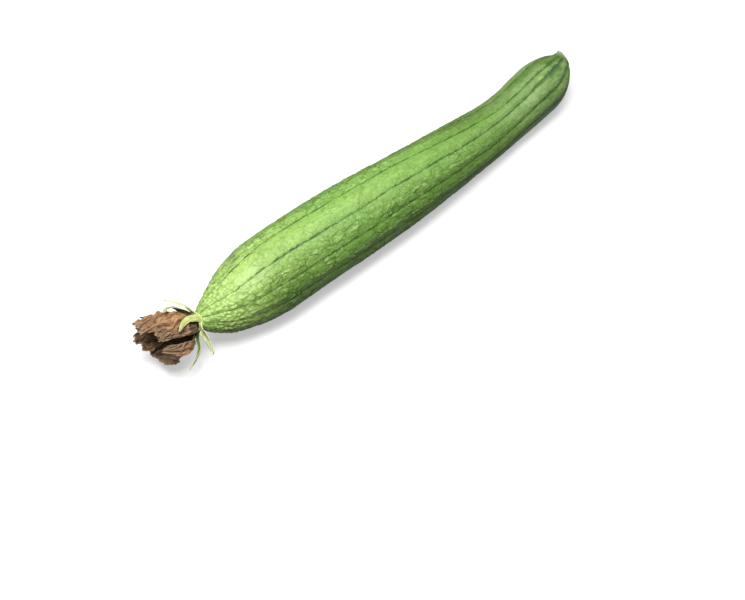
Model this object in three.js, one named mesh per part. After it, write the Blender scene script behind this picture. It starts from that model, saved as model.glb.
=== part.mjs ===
// A smooth sponge gourd, Luffa aegyptiaca, as picked: it lies on its belly, the withered flower still on it.
// Millimetres, +Z up. +X runs from the blossom end to the stem end. The origin is at the bottom centre.
//
// Each piece is a closed primitive, a cylinder, box or lathe, whose vertices are carried to a surface of two
// parameters: u along the piece and an angle or a width across it.
import * as THREE from "three";

const { clamp, degToRad, smoothstep } = THREE.MathUtils;

// ---- Driving dimensions of the gourd

const FRUIT = {
  length: 300, // along X, to the stem pole
  radius: 22.9, // at the thickest place, towards the blossom end
  blossomPole: -2.5, // where the blossom end would close to a point, if it weren't cut
  blossomCap: { length: 52, roundness: 1.6 }, // a slightly conical end
  stemCap: { length: 27, roundness: 2.2 }, // a blunt end
  taper: { share: 0.43, from: 85, to: 306 }, // how the body thins towards the stem
  head: { swell: 2.5, at: 274, spread: 24 }, // the slight swelling under the stem
  blossomCut: 2.4, // how far from each pole the faces lie that the calyx and the stem stand on
  stemCut: 0.7,
  sides: 40,
  rings: 44,
};
const BEND = {
  bow: 8.3, // sideways sweep of the body, towards -Y, complete at bowEnd
  bowEnd: 170,
  tipLength: 115, // the blossom end turns a little, over this length
  tipSide: -3.2,
  tipRise: -1.3,
  noseLength: 24, // the very nose of it turns back up, so that the flower sits high
  noseSide: 2.6,
  noseRise: 2.3,
  hookFrom: 215, // the stem end turns to +Y and up, from here on
  hookSide: 4.5,
  hookRise: 4.9,
  crownLength: 25, // the last of it turns once more, so that the stem sits high
  crownSide: 1.5,
  crownRise: 2.5,
};
const FLAT_DEPTH = 0.7; // how much of the belly is pressed flat where it rests
const BLOSSOM_FACE = FRUIT.blossomPole + FRUIT.blossomCut;
const STEM_FACE = FRUIT.length - FRUIT.stemCut;
const RIBS = { count: 10, depth: 0.3, firstGroove: 118 }; // shallow grooves, degrees from +Y towards +Z

const STUB = { length: 3.5, radius: 2.2, flare: 2.9, spread: 1.2, rise: 0.1, side: 3.2, sides: 20, rings: 5 };
const GAP = 0.3; // between neighbours that touch on the real gourd

const CALYX = {
  rootRadius: 4.6,
  rimRadius: 5.4,
  wall: 0.9,
  height: 2.4,
  floor: 1.4,
  rimRound: 0.35,
  sides: 28,
};

// ---- Driving dimensions of the withered flower
// Angles go round the flower from -Y at 0 to +Z at 90 degrees. Lengths run outwards from the calyx.

const FLOWER = { turn: 17, lift: 4, straightFor: 6, turnFrom: 4.2 }; // degrees to +Y and up, and where
const PETAL = { thickness: 0.9, across: 7, along: 12 };
// Each petal is a strip between two edges. An edge is a list of points: distance from the flower's axis,
// distance forward from the petal's foot, angle round the flower.
const PETALS = [
  {
    low: [[2.8, 0, -8], [7.2, 4, 2], [10, 10.5, 16], [12.2, 18, 27], [13, 25.5, 29]],
    high: [[2.8, 0, 54], [5.6, 5.4, 58], [8.8, 10.8, 56], [10.2, 16.2, 45], [11.4, 21.6, 60], [11.6, 27, 62]],
  },
  {
    low: [[2.8, 0, 64], [5.5, 5.5, 66], [8.4, 11, 62], [9.6, 16.5, 52], [10.4, 22, 70], [9.5, 33, 64]],
    high: [[2.8, 0, 140], [7.6, 5.5, 140], [9.8, 11, 140], [10.6, 16.5, 140], [11, 22, 142], [12.6, 33, 140]],
  },
  {
    low: [[2.8, 0, 160], [7.5, 8, 165], [9.5, 17, 176], [9.6, 26, 190], [9, 34, 203]],
    high: [[2.8, 0, 214], [8, 7, 226], [10.5, 15, 240], [11.2, 23, 250], [10.8, 29.5, 254]],
  },
  {
    low: [[2.8, 0, 232], [8.4, 6, 244], [12, 12.5, 254], [14.8, 19, 263], [16, 25, 270]],
    high: [[2.8, 0, 284], [8.4, 4.5, 290], [13, 9.5, 298], [16.5, 14.5, 304], [18, 20.5, 312]],
  },
  {
    low: [[2.6, 0, -64], [5.6, 2.4, -52], [10.8, 4.8, -34], [15.4, 9, -12], [17.6, 15, -5], [14.6, 26, 8]],
    high: [[2.6, 0, -40], [5, 2.4, -32], [8.6, 5, -16], [11.4, 10, 8], [13.2, 16, 18], [13.4, 25, 24]],
  },
];
const SEPAL = { tipWidth: 0.7, thickness: 0.9, across: 4, along: 12 };
const SEPALS = [
  // Each path is a list of points: distance from the flower's axis, distance forward, angle round it.
  { width: 4.8, path: [[6.5, 1.7, 66], [8.3, 6.6, 70], [10.2, 10.6, 60], [12.6, 15.2, 42]] },
  { width: 4.6, path: [[6.5, 1.7, 122], [11, 5.6, 114], [14.3, 10, 123], [16.6, 14.4, 140]] },
  { width: 4.2, path: [[6.6, 1.7, 178], [9.5, 6, 156], [12, 11.4, 136], [13.2, 15.8, 116], [13.4, 19, 101]] },
  { width: 4.6, path: [[6.6, 1.7, -3], [10, 0.6, -18], [15.5, 0.6, -20], [20.6, 2.4, -15], [21.3, 5, -14]] },
  { width: 4.4, path: [[6.5, 1.7, -48], [9.2, 3.2, -44], [13.4, 4.6, -40], [17.8, 8, -38], [23, 14, -34]] },
];

// ---- The gourd's own line and radius

const bulge = (t, n) => Math.pow(Math.max(1 - Math.pow(1 - clamp(t, 0, 1), n), 0), 1 / n);

// The radius at x from the blossom end: a tapering body with a rounded cap at each end.
function fruitRadius(x) {
  const { taper, head, blossomCap, stemCap } = FRUIT;
  const body = FRUIT.radius * (1 - taper.share * smoothstep(x, taper.from, taper.to));
  const swelling = head.swell * Math.exp(-(((x - head.at) / head.spread) ** 2));
  const atBlossom = bulge((x - FRUIT.blossomPole) / blossomCap.length, blossomCap.roundness);
  const atStem = bulge((FRUIT.length - x) / stemCap.length, stemCap.roundness);
  return (body + swelling) * atBlossom * atStem;
}

// The centre of the section at x. It keeps the belly level and sweeps, turns and hooks as BEND says.
function fruitCentre(x) {
  const { blossomCap, stemCap, length } = FRUIT;
  const tip = Math.max(1 - x / BEND.tipLength, 0) ** 2;
  const hook = clamp((x - BEND.hookFrom) / (length - BEND.hookFrom), 0, 1) ** 2;
  const nose = Math.max(1 - x / BEND.noseLength, 0) ** 2;
  const crown = clamp((x - length + BEND.crownLength) / BEND.crownLength, 0, 1) ** 2;
  const bow = -BEND.bow * smoothstep(x, 0, BEND.bowEnd);
  const belly = fruitRadius(clamp(x, blossomCap.length, length - stemCap.length)) - FLAT_DEPTH;
  return new THREE.Vector3(
    x - length / 2,
    bow + BEND.tipSide * tip + BEND.noseSide * nose + BEND.hookSide * hook + BEND.crownSide * crown,
    belly + BEND.tipRise * tip + BEND.noseRise * nose + BEND.hookRise * hook + BEND.crownRise * crown,
  );
}

// The frame of the section at x: its centre, the way along, and the two ways across (level, and up).
function fruitFrame(x) {
  const step = 0.5;
  const along = fruitCentre(x + step).sub(fruitCentre(x - step)).normalize();
  const side = new THREE.Vector3(0, 0, 1).cross(along).normalize();
  return { centre: fruitCentre(x), along, side, up: along.clone().cross(side) };
}

const ring = (frame, radius, angle) =>
  frame.centre
    .clone()
    .addScaledVector(frame.side, radius * Math.cos(angle))
    .addScaledVector(frame.up, radius * Math.sin(angle));

// ---- Closed primitives carried to a surface

function remap(geometry, place) {
  const position = geometry.getAttribute("position");
  const point = new THREE.Vector3();
  for (let i = 0; i < position.count; i++) {
    point.copy(place(point.fromBufferAttribute(position, i)));
    position.setXYZ(i, point.x, point.y, point.z);
  }
  geometry.computeVertexNormals();
  return geometry;
}

// A round solid: a capped cylinder whose rings follow surface(u, angle, share of the radius).
const roundSolid = (sides, rings, surface) =>
  remap(new THREE.CylinderGeometry(1, 1, 1, sides, rings), (p) =>
    surface(p.y + 0.5, Math.atan2(p.x, p.z), Math.hypot(p.x, p.z)),
  );

// A blade: a thin box whose grid follows surface(s, t, side), with s from 0 to 1 along it, t from -1 to 1
// across it, and side -1 on its inner and 1 on its outer face.
const blade = (across, along, surface) =>
  remap(new THREE.BoxGeometry(1, 1, 1, across, along, 1), (p) => surface(p.y + 0.5, 2 * p.x, 2 * p.z));

// ---- The pieces

function fruit() {
  return roundSolid(FRUIT.sides, FRUIT.rings, (u, angle, share) => {
    const x = THREE.MathUtils.lerp(BLOSSOM_FACE, STEM_FACE, 0.5 - 0.5 * Math.cos(Math.PI * u));
    const radius = fruitRadius(x);
    const fade = smoothstep(radius, 6, 16);
    const groove = RIBS.depth * fade * Math.cos(RIBS.count * (angle - degToRad(RIBS.firstGroove)));
    const point = ring(fruitFrame(x), share * (radius - groove), angle);
    point.z = Math.max(point.z, 0);
    return point;
  });
}

// The cut stem: a flared, slightly five-sided peg that bends up from the stem end.
function stemStub() {
  const base = fruitFrame(STEM_FACE);
  const foot = base.centre.clone().addScaledVector(base.along, GAP);
  return roundSolid(STUB.sides, STUB.rings, (u, angle, share) => {
    const radius = STUB.radius + STUB.flare * (1 - u) ** STUB.spread + 0.12 * Math.cos(5 * angle);
    const centre = foot
      .clone()
      .addScaledVector(base.along, STUB.length * u)
      .add(new THREE.Vector3(0, STUB.side, STUB.rise).multiplyScalar(u * u));
    return ring({ ...base, centre }, share * radius, angle);
  });
}

// The flower's base frame, on the blossom face: forward is away from the fruit.
function calyxFrame() {
  const end = fruitFrame(BLOSSOM_FACE);
  const forward = end.along.clone().negate();
  const side = end.side.clone().negate();
  return { centre: end.centre.addScaledVector(forward, GAP), forward, side, up: end.up };
}

// The calyx cup: a shallow bowl with a round rim, open towards the petals.
function calyxTube() {
  const { rootRadius, rimRadius, wall, height, floor, rimRound, sides } = CALYX;
  const outline = [
    [0, 0],
    [rootRadius, 0],
    [rootRadius + 0.65 * (rimRadius - rootRadius), 0.45 * height],
    [rimRadius, height - rimRound],
    [rimRadius - wall / 2, height],
    [rimRadius - wall, height - rimRound],
    [rootRadius - wall, floor],
    [0, floor],
  ].map(([radius, forward]) => new THREE.Vector2(radius, forward));
  const frame = calyxFrame();
  return remap(new THREE.LatheGeometry(outline, sides), (p) =>
    frame.centre
      .clone()
      .addScaledVector(frame.forward, p.y)
      .addScaledVector(frame.side, p.z)
      .addScaledVector(frame.up, p.x),
  );
}

// The flower's axis: straight out of the cup at first, then turned aside and up.
function flowerFrame() {
  const cup = calyxFrame();
  const turn = degToRad(FLOWER.turn);
  const lift = degToRad(FLOWER.lift);
  const forward = new THREE.Vector3(
    -Math.cos(turn) * Math.cos(lift),
    Math.sin(turn) * Math.cos(lift),
    Math.sin(lift),
  );
  const side = new THREE.Vector3(0, 0, 1).cross(forward).normalize();
  return { cup, forward, side, up: forward.clone().cross(side) };
}

// A point of the flower, at a distance from its axis, a distance forward and an angle round it.
function flowerPoint(frame, radius, forward, angle) {
  const blend = smoothstep(forward, FLOWER.turnFrom, 2 * FLOWER.straightFor);
  const mix = (a, b) => a.clone().lerp(b, blend).normalize();
  const straight = Math.min(forward, FLOWER.straightFor);
  return frame.cup.centre
    .clone()
    .addScaledVector(frame.cup.forward, straight)
    .addScaledVector(frame.forward, forward - straight)
    .addScaledVector(mix(frame.cup.side, frame.side), radius * Math.cos(angle))
    .addScaledVector(mix(frame.cup.up, frame.up), radius * Math.sin(angle));
}

// A point of an edge that is given as a list of (distance, forward, angle), at a share of the way along it.
const edgePoint = (edge, share) =>
  new THREE.CatmullRomCurve3(edge.map((p) => new THREE.Vector3(...p)), false, "catmullrom").getPoint(share);

// A dried petal: the strip of a bell between two edges.
function petal({ low, high }) {
  const frame = flowerFrame();
  const root = CALYX.floor + GAP + PETAL.thickness / 2;
  const sheet = (s, t) => {
    const place = edgePoint(low, s).lerp(edgePoint(high, s), t);
    return flowerPoint(frame, place.x, root + place.y, degToRad(place.z));
  };
  const step = 0.02;
  return blade(PETAL.across, PETAL.along, (s, t, face) => {
    const share = 0.5 + 0.5 * t;
    const [from, to] = [Math.max(s - step, 0), Math.min(s + step, 1)];
    const along = sheet(to, share).sub(sheet(from, share));
    const across = sheet(s, share + step).sub(sheet(s, share - step));
    const outward = across.cross(along).normalize();
    return sheet(s, share).addScaledVector(outward, (face * PETAL.thickness) / 2);
  });
}

// A sepal: a pointed blade that rises beside the cup's rim and follows its own path.
function sepal({ width, path }) {
  const frame = flowerFrame();
  const step = 0.02;
  const middle = (s) => {
    const place = edgePoint(path, s);
    return flowerPoint(frame, place.x, place.y, degToRad(place.z));
  };
  return blade(SEPAL.across, SEPAL.along, (s, t, face) => {
    const tangent = middle(Math.min(s + step, 1)).sub(middle(Math.max(s - step, 0))).normalize();
    const here = edgePoint(path, s);
    const round = flowerPoint(frame, 1, here.y, degToRad(here.z + 90)).sub(flowerPoint(frame, 0, here.y, 0));
    const sideways = round.addScaledVector(tangent, -round.dot(tangent)).normalize();
    const outward = sideways.clone().cross(tangent);
    const swell = Math.sin(Math.PI * (0.28 + 0.72 * s));
    const half = 0.5 * (SEPAL.tipWidth + (width - SEPAL.tipWidth) * swell);
    const thick = 0.5 * SEPAL.thickness * (1 - 0.4 * s);
    const keel = 0.25 * half * t * t;
    return middle(s)
      .addScaledVector(sideways, half * t)
      .addScaledVector(outward, face * thick - keel);
  });
}

// ---- Assembly

const FINISH = {
  skin: { color: 0x86b04f, roughness: 0.45, metalness: 0 },
  stem: { color: 0x9cab76, roughness: 0.7, metalness: 0 },
  calyx: { color: 0xb4c878, roughness: 0.55, metalness: 0 },
  petal: { color: 0x8a6a4a, roughness: 0.85, metalness: 0 },
};

const gourd = new THREE.Group();

function add(name, geometry, finish) {
  const mesh = new THREE.Mesh(geometry, new THREE.MeshStandardMaterial(FINISH[finish]));
  mesh.name = name;
  gourd.add(mesh);
}

add("fruit", fruit(), "skin");
add("stem_stub", stemStub(), "stem");
add("calyx_tube", calyxTube(), "calyx");
SEPALS.forEach((shape, i) => add(`sepal_${i + 1}`, sepal(shape), "calyx"));
PETALS.forEach((shape, i) => add(`petal_${i + 1}`, petal(shape), "petal"));

// The origin goes to the bottom centre of the whole gourd.
const extent = new THREE.Box3().setFromObject(gourd);
const middle = extent.getCenter(new THREE.Vector3());
gourd.position.set(-middle.x, -middle.y, -extent.min.z);

export default gourd;
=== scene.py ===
"""A smooth sponge gourd as picked: the fruit, its cut stem, and its withered flower in green sepals.

The gourd lies on its belly on a white floor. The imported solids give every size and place, and each of them
is stood for here by a finer skin, blade or petal that follows the same line. Shapes are worked out in
millimetres from the blossom pole and go into their meshes in metres.
"""

import itertools
import logging
import math
from collections.abc import Sequence
from dataclasses import dataclass, field
from enum import Enum

import bpy
import numpy as np
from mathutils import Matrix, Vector


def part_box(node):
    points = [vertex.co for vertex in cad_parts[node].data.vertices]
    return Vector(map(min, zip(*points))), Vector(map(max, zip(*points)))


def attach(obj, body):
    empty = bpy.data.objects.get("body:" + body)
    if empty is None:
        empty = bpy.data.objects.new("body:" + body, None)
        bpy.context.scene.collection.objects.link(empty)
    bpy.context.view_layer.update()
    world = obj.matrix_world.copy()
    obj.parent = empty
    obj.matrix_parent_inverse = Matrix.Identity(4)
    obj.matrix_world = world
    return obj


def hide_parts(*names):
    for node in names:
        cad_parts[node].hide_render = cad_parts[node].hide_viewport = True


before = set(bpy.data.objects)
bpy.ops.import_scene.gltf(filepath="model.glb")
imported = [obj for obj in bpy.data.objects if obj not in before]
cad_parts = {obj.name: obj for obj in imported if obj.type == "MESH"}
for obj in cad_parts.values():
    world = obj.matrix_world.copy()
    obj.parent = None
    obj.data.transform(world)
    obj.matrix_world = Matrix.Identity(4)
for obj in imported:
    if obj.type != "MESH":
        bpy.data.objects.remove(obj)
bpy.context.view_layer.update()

log = logging.getLogger("sponge_gourd")

Array = np.ndarray
Colour = tuple[float, float, float]
Path = tuple[tuple[float, float, float], ...]
MM = 0.001  # one millimetre in Blender's metres
NOISE_GAIN = 1.6  # brings the noise to about -1 to 1
CREASE_WIDTH = 0.26  # how far a crease's edge is from its middle, in millimetres
WHITE = (1.0, 1.0, 1.0, 1.0)


# ---- Sums that every shape uses


def smoothstep(value: Array, low: float, high: float) -> Array:
    """Rise smoothly from 0 at low to 1 at high: 3q^2 - 2q^3 of the share q of the way."""
    share = np.clip((np.asarray(value, float) - low) / (high - low), 0.0, 1.0)
    return share * share * (3.0 - 2.0 * share)


def hump(value: Array, middle: float, spread: float | Array) -> Array:
    """A bell curve of height 1: exp(-((value - middle) / spread)^2)."""
    return np.exp(-(((np.asarray(value, float) - middle) / spread) ** 2))


def ease(value: Array, length: float) -> Array:
    """Fall from 1 to 0 over a length, flat at the end of it: (1 - value / length)^2."""
    return np.maximum(1.0 - np.asarray(value, float) / length, 0.0) ** 2


def unit(vectors: Array) -> Array:
    """The vectors along the last axis at length 1."""
    return vectors / np.linalg.norm(vectors, axis=-1, keepdims=True)


def mix(a: Array, b: Array, share: Array) -> Array:
    """Go from a to b by share, with share spread over the last axis."""
    return a + (b - a) * np.asarray(share)[..., None]


def wrap(angle: Array) -> Array:
    """An angle in degrees, brought between -180 and 180."""
    return (np.asarray(angle) + 180.0) % 360.0 - 180.0


class Noise:
    """Smooth seeded noise in space, about -1 to 1, from random slopes on a unit lattice."""

    def __init__(self, seed: int) -> None:
        """Draw the lattice's slopes.

        Args:
            seed: Number that fixes the pattern.
        """
        draw = np.random.default_rng(seed)
        self.order = draw.permutation(256)
        self.slopes = unit(draw.normal(size=(256, 3)))

    def __call__(self, points: Array) -> Array:
        """Blend the slopes of the eight lattice corners round each point.

        A corner's weight is 6q^5 - 15q^4 + 10q^3 of the way q towards it, on each axis.

        Args:
            points: Places in lattice units, three numbers in the last axis.

        Returns:
            One value for each point.
        """
        cell = np.floor(points).astype(int)
        local = points - cell
        fade = local**3 * (local * (local * 6.0 - 15.0) + 10.0)
        total = np.zeros(points.shape[:-1])
        for corner in itertools.product((0, 1), repeat=3):
            x, y, z = np.moveaxis((cell + corner) & 255, -1, 0)
            slope = self.slopes[self.order[(self.order[(self.order[x] + y) & 255] + z) & 255]]
            weight = np.prod(np.where(np.array(corner) == 1, fade, 1.0 - fade), axis=-1)
            total += weight * np.sum(slope * (local - corner), axis=-1)
        return NOISE_GAIN * total

    def layers(self, points: Array, count: int = 3) -> Array:
        """Add layers of noise, each twice as fine and half as high as the one before."""
        return sum(self(points * 2**i + 17.3 * i) / 2**i for i in range(count))

    def folds(self, points: Array, count: int = 2) -> Array:
        """Sharp creases between rounded swells: layers of 1 minus twice the size of the noise, down to 0.

        Args:
            points: Places in lattice units, three numbers in the last axis.
            count: How many layers, each twice as fine and half as high as the one before.

        Returns:
            One value for each point.
        """
        total = np.zeros(points.shape[:-1])
        for i in range(count):
            total += np.clip(1.0 - 2.0 * np.abs(self(points * 2**i + 9.1 * i)), 0.0, 1.0) / 2**i
        return total


def cells(along: Array, round_: Array, period: int, seed: int) -> tuple[Array, Array, Array]:
    """Divide a surface into irregular cells, each nearest to one jittered seed point of a square lattice.

    The distance to the second nearest seed minus that to the nearest is 0 on the border of a cell.

    Args:
        along: Distance along the surface, in cells.
        round_: Distance round the surface, in cells.
        period: Whole number of cells round the surface, where the pattern closes.
        seed: Number that fixes the pattern.

    Returns:
        The border distance, the distance to the nearest seed, and a value from 0 to 1 for each cell.
    """
    draw = np.random.default_rng(seed)
    rows = int(np.ceil(along.max() - along.min())) + 8
    jitter = draw.uniform(0.12, 0.88, size=(rows, period, 2))
    tone = draw.uniform(size=(rows, period))
    first = int(np.floor(along.min())) - 2
    row, column = np.floor(along).astype(int), np.floor(round_).astype(int)
    nearest = np.full(along.shape, 9.0)
    second = np.full(along.shape, 9.0)
    value = np.zeros(along.shape)
    for step_row, step_column in itertools.product((-1, 0, 1), repeat=2):
        r, c = row + step_row, column + step_column
        place = jitter[r - first, c % period]
        distance = np.hypot(r + place[..., 0] - along, c + place[..., 1] - round_)
        closer = distance < nearest
        second = np.where(closer, nearest, np.minimum(second, distance))
        value = np.where(closer, tone[r - first, c % period], value)
        nearest = np.where(closer, distance, nearest)
    return second - nearest, nearest, value


def grains(points: Array, seed: int) -> tuple[Array, Array]:
    """Round grains in space: one seed point in each unit cube, and how far off the nearest one is.

    Args:
        points: Places, in cubes, with the coordinates last.
        seed: Number that fixes the pattern.

    Returns:
        The distance to the nearest seed point, and a value from 0.1 to 0.9 for each grain.
    """
    draw = np.random.default_rng(seed).uniform(0.1, 0.9, size=(24, 24, 24, 4))
    corner = np.floor(points).astype(int)
    nearest, tone = np.full(points.shape[:-1], 9.0), np.zeros(points.shape[:-1])
    for step in itertools.product((-1, 0, 1), repeat=3):
        cube = corner + np.array(step)
        drawn = draw[tuple(np.moveaxis(cube % 24, -1, 0))]
        distance = np.linalg.norm(cube + drawn[..., :3] - points, axis=-1)
        tone = np.where(distance < nearest, drawn[..., 3], tone)
        nearest = np.minimum(nearest, distance)
    return nearest, tone


def creased(along: Array, across: Array, seed: int, slope: float, lengths: tuple[float, ...]) -> Array:
    """Crumpled paper: flat facets that meet in sharp creases, made of folded waves.

    Each wave is a zigzag, 1 - |2 w - 1| with w the fraction of (along cos a + across sin a) / length, whose
    straight flanks are the facets. Each has its own direction a, is bent by noise, and comes and goes.

    Args:
        along: Millimetres along the sheet.
        across: Millimetres across it.
        seed: Number that fixes the pattern.
        slope: How steep the facets are.
        lengths: The waves' lengths in millimetres.

    Returns:
        The height in millimetres, and how near a raised and a sunk crease are, 0 to 1, stacked last.
    """
    draw, noise = np.random.default_rng(seed), Noise(seed)
    height, raised, sunk = np.zeros_like(along), np.zeros_like(along), np.zeros_like(along)
    for number, length in enumerate(lengths):
        turn = math.radians(90.0 + (-1) ** number * draw.uniform(12.0, 62.0))
        place = np.stack([along / length, across / length, np.full_like(along, 7.3 * number)], axis=-1)
        straight = place[..., 0] * math.cos(turn) + place[..., 1] * math.sin(turn)
        bent = straight + 0.45 * noise.layers(place * 0.55, 2)
        way = (bent + draw.uniform()) % 1.0
        there = smoothstep(noise(place * 0.6 + 50.0), -0.45, 0.15)
        height += slope * length * there * (0.5 - np.abs(2.0 * way - 1.0))
        raised = np.maximum(raised, there * hump((way - 0.5) * length, 0.0, CREASE_WIDTH))
        sunk = np.maximum(sunk, there * hump(np.minimum(way, 1.0 - way) * length, 0.0, CREASE_WIDTH))
    return np.stack([height, raised, sunk], axis=-1)


# ---- Meshes


def grid_faces(index: Array) -> Array:
    """Four-sided faces between neighbouring rows and columns of a grid of vertex numbers."""
    corners = index[:-1, :-1], index[:-1, 1:], index[1:, 1:], index[1:, :-1]
    return np.stack(corners, axis=-1).reshape(-1, 4)


def volume(points: Array, faces: Array) -> float:
    """Six times the volume that the faces enclose, negative where they point inwards."""
    a, b, c, d = (points[faces[:, i]] for i in range(4))
    return float(np.sum(np.cross(a, b) * c) + np.sum(np.cross(a, c) * d))


def make_piece(name: str, points: Array, faces: Array, attributes: dict[str, Array]) -> bpy.types.Object:
    """Put a closed surface into a smooth mesh object at the origin, its faces outwards.

    Args:
        name: Name of the piece.
        points: Vertices in row millimetres, one in each line.
        faces: Four vertex numbers in each line. A line that names its last vertex twice is a triangle.
        attributes: Three numbers at each vertex, by name, for the materials to read.

    Returns:
        The object, linked to the scene.
    """
    if volume(points, faces) < 0:
        faces = faces[:, ::-1]
    mesh = bpy.data.meshes.new(name)
    corners = [list(dict.fromkeys(face)) for face in faces.tolist()]
    mesh.from_pydata((points * MM).tolist(), [], corners)
    mesh.polygons.foreach_set("use_smooth", np.ones(len(mesh.polygons), dtype=bool))
    for label, values in attributes.items():
        layer = mesh.attributes.new(label, "FLOAT_VECTOR", "POINT")
        layer.data.foreach_set("vector", np.asarray(values, np.float32).ravel())
    mesh.update()
    piece = bpy.data.objects.new(name, mesh)
    bpy.context.scene.collection.objects.link(piece)
    return piece


def round_piece(name: str, rings: Array, attributes: dict[str, Array]) -> bpy.types.Object:
    """Close a stack of rings into a piece, with a fan of triangles from each end ring to its middle.

    Args:
        name: Name of the piece.
        rings: Vertices in row millimetres, as rings by sides by three.
        attributes: Three numbers at each vertex, in the same layout, by name.

    Returns:
        The piece.
    """
    count, sides = rings.shape[:2]
    index = np.arange(count * sides).reshape(count, sides)
    index = np.concatenate([index, index[:, :1]], axis=1)
    fans = []
    for pole, ring in ((count * sides, index[0, ::-1]), (count * sides + 1, index[-1])):
        middle = np.full(sides, pole)
        fans.append(np.stack([ring[:-1], ring[1:], middle, middle], axis=-1))

    def with_poles(values: Array) -> Array:
        """The rings' values in one list, with the mean of each end ring behind them."""
        ends = values[[0, -1]].mean(axis=1)
        return np.concatenate([values.reshape(-1, 3), ends])

    filled = {label: with_poles(values) for label, values in attributes.items()}
    return make_piece(name, with_poles(rings), np.concatenate([grid_faces(index), *fans]), filled)


def blade_piece(
    name: str, outer: Array, inner: Array, attributes: dict[str, tuple[Array, Array]]
) -> bpy.types.Object:
    """Close two sheets that lie face to face into a thin piece, with a strip along each of their four edges.

    Each row of the outer sheet and the same row of the inner one, read backwards, make a ring. The rings are
    joined row to row, and the two end rings are closed across.

    Args:
        name: Name of the piece.
        outer: Vertices of one sheet in row millimetres, as rows by columns by three.
        inner: Vertices of the other, in the same layout.
        attributes: Three numbers at each vertex, by name, for the outer sheet and for the inner one.

    Returns:
        The piece.
    """
    rows, columns = outer.shape[:2]
    index = np.arange(rows * columns * 2).reshape(rows, columns * 2)
    start, end = (np.stack([row[:columns], row[: columns - 1 : -1]]) for row in (index[0], index[-1]))
    index = np.concatenate([index, index[:, :1]], axis=1)
    faces = np.concatenate([grid_faces(index), grid_faces(start)[:, ::-1], grid_faces(end)])

    def both(top: Array, under: Array) -> Array:
        """Each row of the outer sheet's values, and then the inner one's backwards."""
        return np.concatenate([top, under[:, ::-1]], axis=1).reshape(-1, 3)

    filled = {label: both(*values) for label, values in attributes.items()}
    return make_piece(name, both(outer, inner), faces, filled)


# ---- The lines that the pieces are set on


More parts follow.
